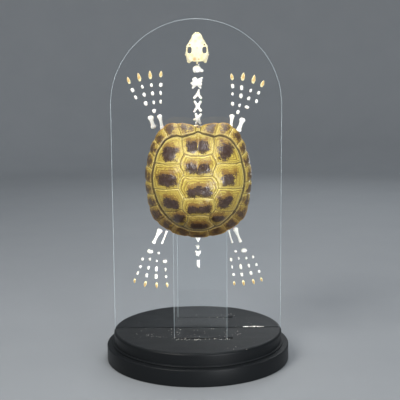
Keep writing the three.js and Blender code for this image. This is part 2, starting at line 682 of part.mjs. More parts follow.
function makePlastron() {
  const edgeKey = (p, q) => [p, q].map((r) => r.join(" ")).sort().join(" / ");
  const seen = new Map();
  const sheets = [];
  for (const half of PLASTRON_SCUTES) {
    for (const outline of [half, mirrored(half)]) {
      const onBridge = Math.max(...half.map(([a]) => a)) > PLASTRON.bridge;
      const sum = outline.reduce(([x, y], [a, b]) => [x + a, y + b], [0, 0]);
      const heart = [sum[0] / outline.length, sum[1] / outline.length];
      if (onBridge) heart[0] = Math.sign(heart[0]) * PLASTRON.flat;
      sheets.push({ outline, heart });
      outline.forEach((p, k) => {
        const q = outline[(k + 1) % outline.length];
        const key = edgeKey(p, q);
        seen.set(key, seen.has(key) ? null : [p, q]);
      });
    }
  }
  const seamTop = PLASTRON.wall - PLASTRON_SCUTE.seam;
  const triangles = [];
  for (const { outline, heart } of sheets) {
    const rings = [
      outline.map((p) => plastronPoint(p, seamTop)),
      drawnIn(outline, heart, PLASTRON_SCUTE.lip).map((p) => plastronPoint(p, PLASTRON.wall)),
    ];
    const crown = plastronPoint(heart, PLASTRON.wall + PLASTRON_SCUTE.crown);
    outline.forEach((p, k) => {
      const next = (k + 1) % outline.length;
      triangles.push([rings[0][k], rings[0][next], rings[1][k]]);
      triangles.push([rings[0][next], rings[1][next], rings[1][k]]);
      triangles.push([rings[1][k], rings[1][next], crown]);
      triangles.push([plastronPoint(outline[next], 0), plastronPoint(p, 0), plastronPoint(heart, 0)]);
    });
  }
  for (const side of [...seen.values()].filter(Boolean)) {
    const [low, lowNext] = side.map((p) => plastronPoint(p, 0));
    const [high, highNext] = side.map((p) => plastronPoint(p, seamTop));
    triangles.push([highNext, high, low], [highNext, low, lowNext]);
  }
  piece(root, "plastron", closedGeometry(triangles), FINISH.plastronHorn);
}

// The skull lies on its lower jaw, nose up
function makeSkull() {
  const rings = SKULL_RINGS.map(([z, halfWidth, halfDepth]) => [0, z, halfWidth, halfDepth]);
  const braincase = bone(rings, { sides: 12, lift: SKULL.lift, square: 0.85 });
  const lobes = [-1, 1].map((side) => {
    const line = SKULL_LOBE.map(([x, z, half]) => [side * x, z, half]);
    return bone(line, { sides: 6, depth: 2.4, lift: SKULL.lift + 1 });
  });
  const crest = bone(SKULL_CREST, { sides: 6, depth: 1.8, lift: SKULL.lift + 5 });
  let skull = joined([braincase, ...lobes, crest]);
  const eye = EYE_SOCKET;
  for (const side of [-1, 1]) {
    const through = [eye.halfWidth, 10 * SKULL.lift, eye.halfHeight];
    skull = skull.subtract(solid(pebble(through, [side * eye.out, 0, eye.z], 8, 8)));
  }
  const nose = NOSE_OPENING;
  const noseMiddle = [0, -nose.forward, nose.z];
  skull = skull.subtract(solid(pebble([nose.halfWidth, 2, nose.halfHeight], noseMiddle, 8, 4)));
  piece(onPanel, "skull", geometryOf(skull), FINISH.skullBone).position.x = SKULL.x;

  const otherSide = JAW_SIDE.slice(0, -1).map(([x, z, half]) => [-x, z, half]);
  const jaw = bone([...JAW_SIDE, ...otherSide.reverse()], { sides: 6, depth: 1.4 });
  piece(onPanel, "lower_jaw", jaw, FINISH.skullBone).position.x = SKULL.x;
}

function makeBackbone() {
  for (const [name, row] of [["neck_vertebra", NECK], ["tail_vertebra", TAIL]]) {
    row.forEach((shape, i) => {
      const mesh = piece(onPanel, `${name}_${i + 1}`, vertebra(shape), FINISH.bone);
      mesh.position.set(shape.at[0], 0, shape.at[1]);
    });
  }
}

function makeLimbs() {
  for (const [name, { line, depth }] of Object.entries(LIMB_BONES)) {
    piece(onPanel, name, bone(line, { sides: 7, depth }), FINISH.bone);
  }
  for (const [side, name] of [[-1, "left_shoulder_girdle"], [1, "right_shoulder_girdle"]]) {
    const { out, z, depth, lines } = SHOULDER_GIRDLE;
    const parts = lines.map((line) =>
      bone(line.map(([x, up, half]) => [side * x, up, half]), { sides: 6, depth }),
    );
    const girdle = piece(onPanel, name, geometryOf(joined(parts)), FINISH.bone);
    girdle.position.set(SHELL.x + side * out, 0, z);
  }
}

function makePelvis() {
  const { at, depth, bevel, windows, hipBone } = PELVIS;
  const around = [...PELVIS.outline, ...mirrored(PELVIS.outline).slice(1, -1)];
  const outline = new THREE.Shape(around.map(([x, z]) => new THREE.Vector2(x, z)));
  for (const side of [-1, 1]) {
    const hole = new THREE.Path();
    const { out, halfWidth, halfHeight } = windows;
    hole.absellipse(side * out, 0, halfWidth, halfHeight, 0, 2 * Math.PI, false, 0);
    outline.holes.push(hole);
  }
  const plate = new THREE.ExtrudeGeometry(outline, {
    depth,
    bevelThickness: bevel,
    bevelSize: bevel,
    bevelOffset: -bevel,
    bevelSegments: 1,
    curveSegments: 4,
  })
    .rotateX(Math.PI / 2)
    .translate(0, -bevel, 0);
  const hipBones = [-1, 1].map((side) =>
    bone(hipBone.map(([x, z, half]) => [side * x, z, half]), { sides: 6, depth: depth - bevel }),
  );
  const pelvis = piece(onPanel, "pelvis", geometryOf(joined([plate, ...hipBones])), FINISH.bone);
  pelvis.position.set(at[0], 0, at[1]);
}

// A claw points up its own Z: a rounded root, a full middle and a blunt tip
function makeClaws() {
  for (const [limb, claws] of Object.entries(CLAWS)) {
    claws.forEach(([x, z, length, width, heading], i) => {
      const line = CLAW_RINGS.map(([up, share]) => [0, up * length, (share * width) / 2]);
      const geometry = bone(line, { sides: 6, depth: (width / 2) * FLATTENING });
      const claw = piece(onPanel, `${limb}_claw_${i + 1}`, geometry, FINISH.claw);
      claw.position.set(x, 0, z);
      claw.rotation.y = THREE.MathUtils.degToRad(heading);
    });
  }
}

function makeWristAndAnkleBones() {
  for (const [name, [x, z, halfWidth, halfHeight, heading]] of Object.entries(WRIST_AND_ANKLE_BONES)) {
    const depth = Math.min(halfWidth, halfHeight) * FLATTENING;
    const shape = pebble([halfWidth, depth, halfHeight], [0, -depth, 0], 7, 5);
    const small = piece(onPanel, name, shape, FINISH.bone);
    small.position.set(x, 0, z);
    small.rotation.y = THREE.MathUtils.degToRad(heading);
  }
}

makeBase();
makePanels();
makeCarapace();
makePlastron();
makeSkull();
makeBackbone();
makeLimbs();
makePelvis();
makeClaws();
makeWristAndAnkleBones();

export default root;
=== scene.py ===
# A tortoise skeleton on clear panels in a round black base: its finished surfaces, stage and camera
import functools
import math

import bpy
import numpy as np
from bpy.props import FloatProperty, FloatVectorProperty, IntProperty, PointerProperty
from mathutils import Matrix, Vector


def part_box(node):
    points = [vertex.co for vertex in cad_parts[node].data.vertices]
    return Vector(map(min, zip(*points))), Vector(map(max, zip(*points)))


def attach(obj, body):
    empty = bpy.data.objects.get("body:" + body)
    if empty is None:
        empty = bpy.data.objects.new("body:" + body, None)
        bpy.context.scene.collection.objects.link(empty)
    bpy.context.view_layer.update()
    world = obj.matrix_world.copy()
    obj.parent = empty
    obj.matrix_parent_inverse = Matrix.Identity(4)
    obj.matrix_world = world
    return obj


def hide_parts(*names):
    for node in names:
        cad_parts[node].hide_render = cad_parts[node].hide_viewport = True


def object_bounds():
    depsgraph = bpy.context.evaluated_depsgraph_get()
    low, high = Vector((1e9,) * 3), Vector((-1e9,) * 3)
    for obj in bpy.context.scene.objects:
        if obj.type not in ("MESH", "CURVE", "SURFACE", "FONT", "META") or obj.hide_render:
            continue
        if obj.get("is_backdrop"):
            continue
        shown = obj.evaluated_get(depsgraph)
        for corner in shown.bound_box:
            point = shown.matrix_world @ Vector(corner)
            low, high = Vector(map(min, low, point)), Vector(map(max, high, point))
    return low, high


bl_info = {
    "name": "Tortoise skeleton",
    "version": (1, 0, 0),
    "blender": (4, 5, 0),
    "location": "View3D > Sidebar > Skeleton",
    "description": "Builds a tortoise skeleton mounted on clear panels",
    "category": "Add Mesh",
}

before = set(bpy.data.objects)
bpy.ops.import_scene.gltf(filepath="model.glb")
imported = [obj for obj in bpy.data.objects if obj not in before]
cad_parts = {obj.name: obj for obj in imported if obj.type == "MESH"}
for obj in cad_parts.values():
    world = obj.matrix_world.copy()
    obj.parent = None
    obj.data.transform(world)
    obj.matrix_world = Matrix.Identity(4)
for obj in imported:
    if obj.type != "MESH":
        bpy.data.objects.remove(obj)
CAD_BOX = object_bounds()

# Tables are in millimetres, and meshes are scaled by this when they are made
MM = 0.001

# The base and the panels, as [lowest corner, highest corner] in millimetres
LOW_DISC = np.array(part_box("lower_disc")) / MM
HIGH_DISC = np.array(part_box("upper_disc")) / MM
PANEL = np.array(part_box("skeleton_panel")) / MM
SHELL_STRIP = np.array(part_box("shell_strip")) / MM
PLASTRON_STRIP = np.array(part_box("plastron_strip")) / MM
TOUCH_GAP = 0.3
BONES_BACK = PANEL[0][1] - TOUCH_GAP
SLOT = {"width": 4.0, "depth": 10.0}
# The slots of the base, as [middle x, middle y, length]
SLOTS = [(0, 0, 2.2 * HIGH_DISC[1][0]), (5.5, -40.2, 64), (8.2, 40.2, 64)]
# Patches of dust on the base, as [x, y, half x, half y, share of the flecks, size]
DUST_PATCHES = [
    (6, -20, 42, 16, 0.3, 0.8), (-40, -30, 22, 8, 0.16, 0.7), (4, -44.5, 30, 2.4, 0.24, 0.95),
    (12, 45, 34, 8, 0.08, 0.9), (38, -74, 16, 6, 0.04, 0.7), (-60, -20, 22, 22, 0.07, 0.6),
    (55, 20, 26, 24, 0.07, 0.5),
]
# Dried glue in the long slot: where it starts and ends, its steps, and its middle across the slot
GLUE = {"start": 51, "end": 73, "step": 1.6, "y": 2.0, "swell": 34}

# The shell, as a plan round its middle, with degrees counted from the head end
SHELL = {"x": 2, "z": 203, "dome": 42, "wall": 3.2, "rim_wall": 2.6, "middle": 25}
SHELL_BACK = SHELL_STRIP[0][1] - TOUCH_GAP
# How many cells across the sheets of the shell have, outside and inside
SHELL_CELLS = (260, 130)
PLASTRON_CELLS = (220, 110)
# One unit of the shell's chart, for patterns that are laid out in millimetres
CHART_UNIT = 50
# Relief of the carapace outside, in millimetres, and the number of rings in a scute
RELIEF = {"seam_width": 0.55, "furrow": 0.7, "furrow_width": 1.1, "rings": 7}
# Relief inside: how high the spine and the ribs stand, in millimetres, and their widths on the chart
INSIDE = {
    "spine": 3.2, "spine_width": 0.075, "rib": 1.1, "rib_width": 0.035, "rib_gap": 0.24, "slant": 0.06,
}
RIM_RADIUS = [
    (0, 57.3), (10, 60), (20, 64.2), (28, 66.8), (36, 66), (45, 63.5), (60, 59.1), (75, 56.3), (90, 55),
    (105, 55.9), (120, 59.5), (132, 62), (145, 61.2), (155, 61.2), (165, 60.2), (180, 60.1),
]
RIM_HEIGHT = [(0, 0), (22, 0), (45, -1.5), (70, -5), (100, -6), (130, -2.5), (155, 0), (180, 0)]
SEAM_RADIUS = [
    (0, 52.4), (5, 50.6), (13, 49.8), (19.4, 50.2), (25, 53.2), (35, 55.3), (43, 54.2), (55, 52),
    (65, 49.5), (80, 48), (96.5, 46.6), (110, 46.2), (128, 47.5), (142, 48.5), (155, 49.8), (160, 49),
    (168, 50.1), (180, 50.3),
]
SEAM_HEIGHT = [(0, 10), (25, 10), (50, 14), (75, 19), (100, 19), (125, 15), (150, 13), (180, 13)]
DOME_POWER = 2.6
BRIDGE_BULGE = 2.5
SCALLOP = 0.9
SCALLOP_WIDTH = 2.2
EDGE_SCUTES = [3, 19.4, 33, 46, 58, 72, 89, 104, 118, 135, 150, 169]

# The seams of the big scutes on the right half, from one meeting place to the next
V1_V2 = [(0, 30.2), (7.5, 30.3), (14.5, 31.9)]
V2_V3 = [(0, 9.4), (7.5, 10), (14.9, 10.5)]
V3_V4 = [(0, -10.7), (8, -11.7), (15, -12.3)]
V4_V5 = [(0, -30.5), (6, -31.2), (10.8, -31.5)]
V1_C1 = [(16.4, 43), (16.1, 38.6), (15.2, 35), (14.5, 31.9)]
V2_C1 = [(14.5, 31.9), (16.2, 28.6), (18, 25.5), (18.7, 22.3)]
V2_C2 = [(18.7, 22.3), (17.5, 19.4), (15.2, 14.8), (14.9, 10.5)]
V3_C2 = [(14.9, 10.5), (17.2, 7.8), (19.3, 3), (19.9, -2.2)]
V3_C3 = [(19.9, -2.2), (18.2, -5.8), (15.7, -9.6), (15, -12.3)]
V4_C3 = [(15, -12.3), (16.2, -16.2), (16.9, -20.5), (17.1, -24.4)]
V4_C4 = [(17.1, -24.4), (14.8, -27.1), (12.6, -29.5), (10.8, -31.5)]
V5_C4 = [(10.8, -31.5), (11, -35.9), (13.2, -40.1)]
C1_C2 = [(18.7, 22.3), (27, 21.6), (36, 21.2)]
C2_C3 = [(19.9, -2.2), (28.5, -3.4), (37.5, -4.5)]
C3_C4 = [(17.1, -24.4), (23.5, -27.4), (30.7, -28.8)]
# Where those seams reach the edge seam, in degrees
EDGE_MEETINGS = {"v1_c1": 19.4, "c1_c2": 65, "c2_c3": 96.5, "c3_c4": 128, "v5_c4": 160}
# The places that the scutes grew from: the middle row's, and the right side's
MIDDLE_HEARTS = [(0, 36.5), (0, 16.5), (0, -5.5), (0, -24.2), (0, -43)]
SIDE_HEARTS = [(28.5, 31), (30.5, 5.5), (27, -17.5), (20, -35.5)]
# The heart of an edge scute, as its share along the rim and its place from seam to rim
EDGE_HEART = (0.58, 1.5)

# Dark patches of the big scutes: [middle a, middle b, half a, half b, power]
PATCHES = [
    [-6.6, 37.6, 6.2, 5.6, 3.2], [4.6, 37.4, 6, 5.8, 3.4], [-1, 38.5, 5, 4, 2.5],
    [-6.6, 17.6, 6.6, 5, 3], [6, 17.4, 6.6, 5.1, 3], [0, 16.2, 5, 3.8, 2.5],
    [-6.2, -5.9, 6.8, 5.2, 3.4], [6.6, -5.4, 6.8, 5.6, 3.4], [0, -4.6, 6, 5.2, 3],
    [-5.4, -24, 5.6, 4.8, 3], [6, -24, 6.2, 4.6, 3], [0.4, -24, 4, 3.6, 2.5],
    [0.6, -43.6, 10.6, 4, 2.6],
    [-28.6, 30.4, 8.2, 7.2, 3], [27.8, 33, 7.6, 8.4, 3.6],
    [-31.2, 5.4, 10.8, 6.6, 3.6], [30.2, 6, 7.4, 6.6, 3.4],
    [-27.2, -18.4, 8, 6.2, 2.8], [-31.8, -15, 4, 3.6, 2], [26.6, -17.6, 7.6, 6.4, 2.8],
    [31, -14.4, 3.6, 3.4, 2],
    [-20, -35.2, 6.6, 5.6, 2.5], [19.6, -35.2, 6.8, 3.9, 2.5],
]
# Pale wedges that run down the middle into the patches: [a, top b, bottom b, half width at the top]
WEDGES = [[-0.6, 44, 35.6, 1.5], [0, 23.5, 15.4, 1.3], [0.4, -18.5, -22.5, 0.9]]

# The plastron, half of it, as a plan round its middle
PLASTRON = {"x": 5, "z": 201, "flat": 34, "curl": 0.07, "wall": 4, "seam": 0.5}
PLASTRON_BACK = PLASTRON_STRIP[1][1] + TOUCH_GAP
PLASTRON_SCUTES = [
    [(0, 50.5), (4, 53), (9.5, 52), (13.5, 47.5), (0, 39.5)],
    [(0, 39.5), (13.5, 47.5), (22.5, 42), (29, 35.5), (33, 28.5), (20, 25), (0, 23)],
    [
        (0, 23), (20, 25), (33, 28.5), (34.5, 24), (40, 21.5), (46, 20.5),
        (47, 12), (34, 13.5), (18, 16.5), (0, 16),
    ],
    [
        (0, 16), (18, 16.5), (34, 13.5), (47, 12), (48, 2), (47.5, -9), (46, -17.5),
        (40, -19.5), (34.5, -22.5), (20, -21.5), (0, -18),
    ],
    [(0, -18), (20, -21.5), (34.5, -22.5), (32.5, -27), (31.5, -34), (28.5, -41), (14, -36), (0, -33)],
    [(0, -33), (14, -36), (28.5, -41), (21.5, -48.5), (13.5, -52.5), (9, -53.5), (0, -45.5)],
]
PLASTRON_HEARTS = [(6, 46), (15, 33), (30, 19), (31, -3), (17, -28), (14, -43)]
# Half sizes of the dark patch round each heart
PLASTRON_PATCH = (10, 6.5)

# The skull: rings of [z, half width, half height, height of the middle], measured from its palate
SKULL_X = 1.4
SKULL_LIFT = 3.3
SKULL_RINGS = [
    (321, 4, 3, 6), (324, 7.6, 4, 6), (326.5, 10, 5, 6), (329.5, 11.4, 5.9, 6.2), (333.5, 11.9, 6.4, 6.4),
    (338, 11.5, 6.4, 6.4), (341.2, 10.3, 6, 6), (344.5, 8, 5.2, 5.2), (348.5, 6, 4.3, 4.3),
    (351.6, 4.9, 3.4, 3.5), (353.4, 3.4, 2.2, 3), (355, 2, 1.4, 3),
]
SKULL_POWER = 2.5
SKULL_REAR = 324.8
SKULL_STEP = 0.24
# Brow, spur, temple lobe and crest: first point, last point, first radius and last radius
SKULL_RIDGES = [
    ((6.4, 10.6, 333), (6.2, 9.4, 340.5), 1.2, 1.3), ((11.2, 6, 331.4), (12.3, 6, 331.9), 0.8, 0.35),
    ((8.6, 6.6, 331), (8.5, 5.6, 325), 2.5, 1.9), ((0, 9.4, 331), (0, 6.8, 322.6), 1.9, 0.75),
]
NOSE_END = ((0, 3.4, 349.6), (5.2, 4, 4.6))
NECK_KNOB = ((0, 3, 324), (1.3, 1.2, 1.3))
EYES = {"out": 7.9, "z": 336.6, "half_width": 2.35, "half_height": 3.4, "lip": 0.5}
# Hollows of the side, temple, palate, rear, neck, nostril and brow: middle, half sizes and lip
SKULL_HOLLOWS = [
    ((13.4, 6.2, 337), (3.4, 2.6, 3.4), 0.6), ((6.4, 13.4, 328.6), (2.8, 2.6, 3.6), 1.0),
    ((0, -1.4, 336), (7.4, 3.6, 11), 0.8), ((4.6, 6, 322.6), (2.4, 9, 2.6), 0.5),
    ((0, 5.2, 323.8), (1.7, 1.6, 3), 0.4), ((1.5, 4.6, 353.9), (1.2, 1.3, 1.5), 0.35),
    ((7.5, 9.2, 342), (0.8, 1.6, 0.8), 0.4),
]
# Marks on the skull, as [x from its middle line, z, radius]
TAN_MARKS = [(-2.6, 327.3, 2.6), (1.6, 327.2, 1.3), (-7.1, 342, 1.1)]
YELLOW_MARKS = [(4.9, 328, 2.4), (0.2, 339, 1.6), (-1.6, 346, 2.2), (2.2, 349, 2.8), (5.8, 344, 2.2)]
# The pit's dark spot is painted shade in the small hollow carved there
PIT_SHADE_MARKS = [(7.5, 342, 0.95)]
JAW_SIDE = [
    (9.9, 327.5, 1.4), (11, 333.5, 1), (10.2, 340.5, 0.9), (7, 345.5, 1), (4.2, 350, 1.2), (0, 351.6, 1.5),
]

# Vertebrae: place on the panel, half sizes of the body, and arms as [x, z, end radius]
NECK = [
    ((1.3, 316.8), (4.2, 3.8), [(-2, 0.4, 2.4), (-2.4, -1.8, 2), (5.2, -1.8, 1.6), (1.9, 4.8, 0.6)]),
    (
        (0.8, 302.8), (4.6, 3.6),
        [
            (-1.8, 2.6, 2.9), (-5.9, -1, 0.8), (-4.2, -5.8, 1), (4, -5.8, 1), (5.8, 4.7, 0.9),
            (3.6, 1.7, 2.4), (3.5, -1.9, 2.2), (-3, -1.8, 2.4),
        ],
    ),
    ((1.9, 290.2), (2, 1.9), [(1.1, 4.5, 0.9), (-3.6, -3.6, 1.4), (3.2, -3.8, 1.4), (0.6, 1.4, 1.6)]),
    ((1.7, 277.2), (2, 2.4), [(-3, 5, 1.3), (3, 4.8, 1.4), (-3.6, -5.2, 1.2), (3, -4.2, 1.6)]),
    (
        (1.7, 264.2), (2.5, 2.9),
        [(-1.9, 4.8, 1.4), (3, 4.4, 1.4), (-3.8, -0.9, 1.1), (-1.5, -4.5, 1.1), (2.6, -4.9, 1.3)],
    ),
    ((1.6, 250.5), (2.4, 3), [(-3.6, 5, 1.2), (3.6, 5, 1.2), (-3.2, -5.2, 1.2), (3.2, -5, 1.2)]),
    ((1.8, 237.5), (2.6, 3), [(-4, 4.6, 1.3), (3.8, 4.8, 1.3), (-3.4, -5, 1.3), (3.6, -4.8, 1.3)]),
    ((1.5, 225), (3, 2.8), [(-4.6, 3.8, 1.4), (4.4, 4, 1.4), (-3, -4.6, 1.3), (3.2, -4.6, 1.3)]),
]
TAIL = [
    ((0.9, 134), (2.3, 2.2), [(-2, 2.2, 1.5), (2, 2.2, 1.5), (0.1, -2.9, 0.9)]),
    ((0.7, 125.4), (1.8, 1.9), [(-1.9, 0.9, 0.7), (0.2, -1.7, 1)]),
    ((1, 117.8), (2.1, 1.9), [(-2.2, 1.9, 1.1), (2.2, 1.9, 1.1), (-1.6, -1.5, 1.1), (0.3, -2.7, 0.8)]),
    ((1.1, 105.8), (1.7, 3.4), [(-1, 3.8, 0.7), (1, 3.9, 0.7), (0.9, -3.7, 0.8)]),
]
# Limb bones: half depth, and [x, z, half width] along each
LIMBS = {
    "left_ulna": (1.7, [(-48.6, 267.2, 2.6), (-48.3, 265, 3.1), (-47, 260.6, 1.9), (-45.8, 256.4, 2.8),
                        (-45.5, 254.9, 2.1)]),
    "left_radius": (1.6, [(-39.6, 268.5, 1.9), (-38.9, 266.4, 2.6), (-37.6, 261.4, 1.5), (-36.7, 256, 2),
                          (-35.4, 251.2, 2.7), (-35.1, 249.8, 1.9)]),
    "right_radius": (1.6, [(38.2, 268.3, 2), (38.1, 266.2, 2.6), (37.6, 260.6, 1.4), (36.8, 255.4, 1.8),
                           (36, 251.2, 2.6), (35.8, 249.9, 1.8)]),
    "right_ulna": (1.7, [(49.7, 264.3, 2.2), (49, 262, 3.1), (47.4, 257.4, 1.9), (45.6, 252.6, 2.7),
                         (45, 250.6, 2)]),
    "left_humerus": (2.7, [(-36.4, 246.6, 2.6), (-35, 244.2, 4.1), (-31.2, 238.4, 2.1), (-28, 231.6, 2.1),
                           (-24, 225.4, 4), (-22.4, 222.8, 3)]),
    "right_humerus": (2.7, [(38.8, 246.4, 2.6), (37.4, 244, 4.1), (33.6, 238, 2.1), (30.4, 231.2, 2.1),
                            (26.6, 225.2, 4), (25, 222.6, 3)]),
    "left_tibia": (1.7, [(-40, 144.4, 2.4), (-40.8, 142.2, 3), (-44, 136.4, 1.4), (-46.9, 130.4, 1.9),
                         (-47.9, 128.4, 2.4)]),
    "left_fibula": (1.2, [(-32.5, 143.8, 1.7), (-33.2, 141.4, 1.3), (-36.2, 133.8, 0.85),
                          (-38, 129.4, 1.1), (-38.7, 126.6, 1.6)]),
    "right_tibia": (1.7, [(41.3, 145.6, 2.2), (42, 143.2, 2.8), (44.4, 137, 1.35), (46.9, 131, 1.7),
                          (47.9, 128.8, 2.3)]),
    "right_fibula": (1.2, [(34.1, 144, 1.5), (34.7, 141.4, 1.15), (36.4, 135.2, 0.85), (38.1, 129.8, 1),
                           (39.2, 126.6, 1.5)]),
    "left_femur": (2.5, [(-34.6, 148.2, 3), (-33.4, 150.4, 3.8), (-30, 156.4, 1.9), (-26.4, 163.4, 1.9),
                         (-22.4, 169.4, 3.8), (-20.6, 171.8, 2.8)]),
    "right_femur": (2.5, [(37.4, 148.6, 3), (36.4, 150.8, 3.8), (33, 156.6, 1.9), (29.6, 163.4, 1.9),
                          (25.8, 169.4, 3.8), (24.2, 171.8, 2.8)]),
}
GIRDLE = {
    "out": 17, "z": 213, "depth": 1.8,
    "lines": [
        [(0, 0, 3), (-1.2, 9, 1.5), (-3, 18.4, 1.7), (-3.5, 20.6, 1.3)],
        [(0, 0, 2.8), (-6, -3, 1.4), (-9.6, -4.6, 1.9)],
        [(0, 0, 2.8), (2.4, -7, 2), (4.6, -14.4, 4.3), (5, -16.4, 3.6)],
    ],
}
PELVIS = {
    "x": 1.8, "z": 180, "depth": 2,
    "lines": [
        [(0, 11.5, 2.4), (6, 12.6, 2.8), (12.6, 9.6, 3)],
        [(12.6, 9.6, 3), (12.4, 2, 2.2), (12.6, -4, 2.6)],
        [(12.6, -4, 2.6), (11, -10, 2.8), (6, -7.6, 2.6), (0, -11, 2.6)],
        [(0, 11.5, 2.2), (0, 0, 1.8), (0, -11, 2.4)],
        [(13.6, 5, 3), (13.2, 13, 2), (11.6, 20.4, 2.4)],
    ],
}
# Bones of the wrists and ankles: [x, z, half width, half height, degrees]
ROOT_BONES = {
    "left_wrist_bone_1": (-44.8, 272.8, 2, 2.2, 10),
    "left_wrist_bone_2": (-53.6, 280.9, 2, 2.5, -10),
    "right_wrist_bone_1": (44.4, 270.9, 1.7, 2.2, 20),
    "right_wrist_bone_2": (54, 276.1, 2.3, 1.7, 10),
    "left_ankle_bone_1": (-51.2, 120.2, 3.2, 2.4, 10),
    "left_ankle_bone_2": (-42, 117.9, 1.3, 1.5, 0),
    "right_ankle_bone_1": (51, 120.2, 3.3, 2.3, -10),
    "right_ankle_bone_2": (41.9, 119.4, 1.6, 1.4, 0),
}
# Toe bones, toe by toe from the left: [x, z, length, width]
TOES = {
    "left_hand": [
        [(-67.4, 295.1, 4.3, 4), (-64.1, 287.3, 4.3, 2.8)],
        [(-56.8, 298.2, 3.5, 2.8), (-54.9, 290, 4, 3.3)],
        [(-47.1, 300.1, 3.3, 2.9), (-46.1, 291.3, 4, 3.2), (-44.9, 281.9, 3.6, 2.8)],
        [(-37.3, 300.3, 3.9, 3.6), (-37.5, 291.8, 3.9, 2.6), (-37.7, 282.7, 3.6, 2.7)],
    ],
    "right_hand": [
        [(38.8, 298.5, 4.3, 3.4), (38.7, 290, 3.3, 2.4), (38.8, 279.8, 4.1, 3.5)],
        [(48.5, 296.6, 4.8, 3.5), (47.6, 288.1, 4.4, 3.6), (46.3, 278.2, 3.4, 2.5)],
        [(58, 293.7, 3.5, 3), (56, 285.3, 3.9, 3.2)],
        [(66.4, 291.2, 3.6, 2.9), (64.2, 282.4, 3.7, 2.9)],
    ],
    "left_foot": [
        [(-59.7, 111.5, 3.4, 3), (-62.2, 103, 3.1, 2.9), (-65.1, 96, 3.7, 2.8)],
        [(-51.8, 111.2, 3, 2.7), (-53.4, 101.6, 4, 2.8), (-55.5, 93.2, 4.5, 3.1)],
        [(-44.4, 109.4, 2.4, 2), (-44.8, 100.2, 5.4, 3.3), (-45.2, 91.9, 5.1, 3.6)],
        [(-35.2, 109, 3, 4.6), (-34.8, 99.6, 3.7, 2.1), (-34.3, 91.6, 2.9, 2.6)],
    ],
    "right_foot": [
        [(36.9, 110.3, 3.6, 2.7), (38.1, 102, 3.5, 2), (39.7, 93.4, 2.8, 2.8)],
        [(45.4, 111.4, 2.7, 2.2), (47.5, 102.3, 5.3, 2.9), (48.7, 93.4, 4.1, 3.3)],
        [(53.6, 111.6, 2.7, 2.3), (56.4, 103.3, 4.1, 2.8), (58.6, 95.1, 4, 3.3)],
        [(61, 113, 2.7, 2.4), (64.6, 104.2, 3.3, 2.5), (67.6, 96.8, 3.1, 2.6)],
    ],
}
# Claws from the left: [x, z, length, width, degrees turned clockwise from straight up]
CLAWS = {
    "left_hand": [
        (-71.4, 305.3, 8, 3.5, -17), (-60.2, 308.7, 9.6, 4, -14), (-48.4, 310.8, 9.2, 4, -6),
        (-37, 311.7, 7, 3.6, 6),
    ],
    "right_hand": [
        (38.1, 308.4, 7.6, 3.6, -13), (50, 308.5, 9.1, 4.3, 10), (61.2, 305.6, 9.6, 4.5, 11),
        (70.6, 300.8, 7.8, 4, 23),
    ],
    "left_foot": [
        (-68.9, 86.9, 5.4, 2.8, 184), (-57.3, 83.2, 7, 3.3, 195), (-44.7, 81.7, 7.2, 3, 178),
        (-33.3, 82, 5.8, 2.8, 171),
    ],
    "right_foot": [
        (40.4, 83.3, 5, 2.6, 173), (50.6, 83.7, 6.6, 3.1, 168), (61.5, 85.1, 6.4, 3.2, 162),
        (70.2, 87.4, 5, 2.9, 159),
    ],
}

# The photograph's camera: place in metres, degrees down, degrees of roll, and lens for a 36 mm sensor
CAMERA = {"place": (0.00345, -1.0258, 0.3446), "down": 9.34, "roll": -0.4, "lens": 86.3}
# The lights all point here, in metres
AIM = (0, 0, 0.18)
# Fixed tints of the finishes, beside the colours that the settings hold
TINTS = {
    "paint_haze": (0.45, 0.5, 0.55),
    "sawn_edge": (0.80, 0.93, 0.98),
    "horn_gold": (0.58, 0.45, 0.08),
    "horn_olive": (0.34, 0.23, 0.035),
    "horn_grime": (0.20, 0.12, 0.02),
    "patch_fringe": (0.17, 0.075, 0.016),
    # Painted reflection: the grey sheen on the dark patches
    "patch_painted_sheen": (0.085, 0.060, 0.068),
    # Painted highlights: pale flecks in the dark patches
    "patch_painted_glint": (0.46, 0.30, 0.09),
    "edge_horn": (0.30, 0.17, 0.03),
    # Darkening of the lower shell: partly darker horn, partly painted shade
    "low_horn_and_painted_shade": (0.46, 0.36, 0.30),
    "low_mottle_and_painted_shade": (0.045, 0.018, 0.007),
    "worn_lip": (0.60, 0.50, 0.20),
    "furrow": (0.042, 0.030, 0.014),
    "rim_horn": (0.36, 0.17, 0.03),
    "shell_cloud": (0.56, 0.40, 0.20),
    "shell_pore": (0.40, 0.27, 0.13),
    "shell_suture": (0.30, 0.19, 0.09),
    "belly_horn": (0.52, 0.34, 0.10),
    "bone_cloud": (0.76, 0.68, 0.48),
    "bone_pore": (0.60, 0.48, 0.32),
    "skull_cloud": (0.86, 0.82, 0.66),
    # Painted shade inside the skull's pit
    "skull_yellow": (0.72, 0.66, 0.24),
    "skull_pit_painted_shade": (0.16, 0.085, 0.03),
    "skull_suture": (0.60, 0.46, 0.24),
    "skull_pore": (0.60, 0.46, 0.26),
    "claw_tip": (0.50, 0.45, 0.33),
    "claw_streak": (0.76, 0.58, 0.26),
    "dust_shade": (0.5, 0.46, 0.38),
    "glue_shade": (0.24, 0.23, 0.20),
    "floor_cloud": (0.6, 0.6, 0.6),
    "sky": (0.86, 0.92, 1.0),
}


# Settings


def colour_setting(name, description, default):
    return FloatVectorProperty(
        name=name, description=description, subtype="COLOR", size=3, min=0, max=1, default=default
    )


def length_setting(name, description, millimetres):
    return FloatProperty(
        name=name, description=description, unit="LENGTH", min=0, precision=5, default=millimetres * MM
    )


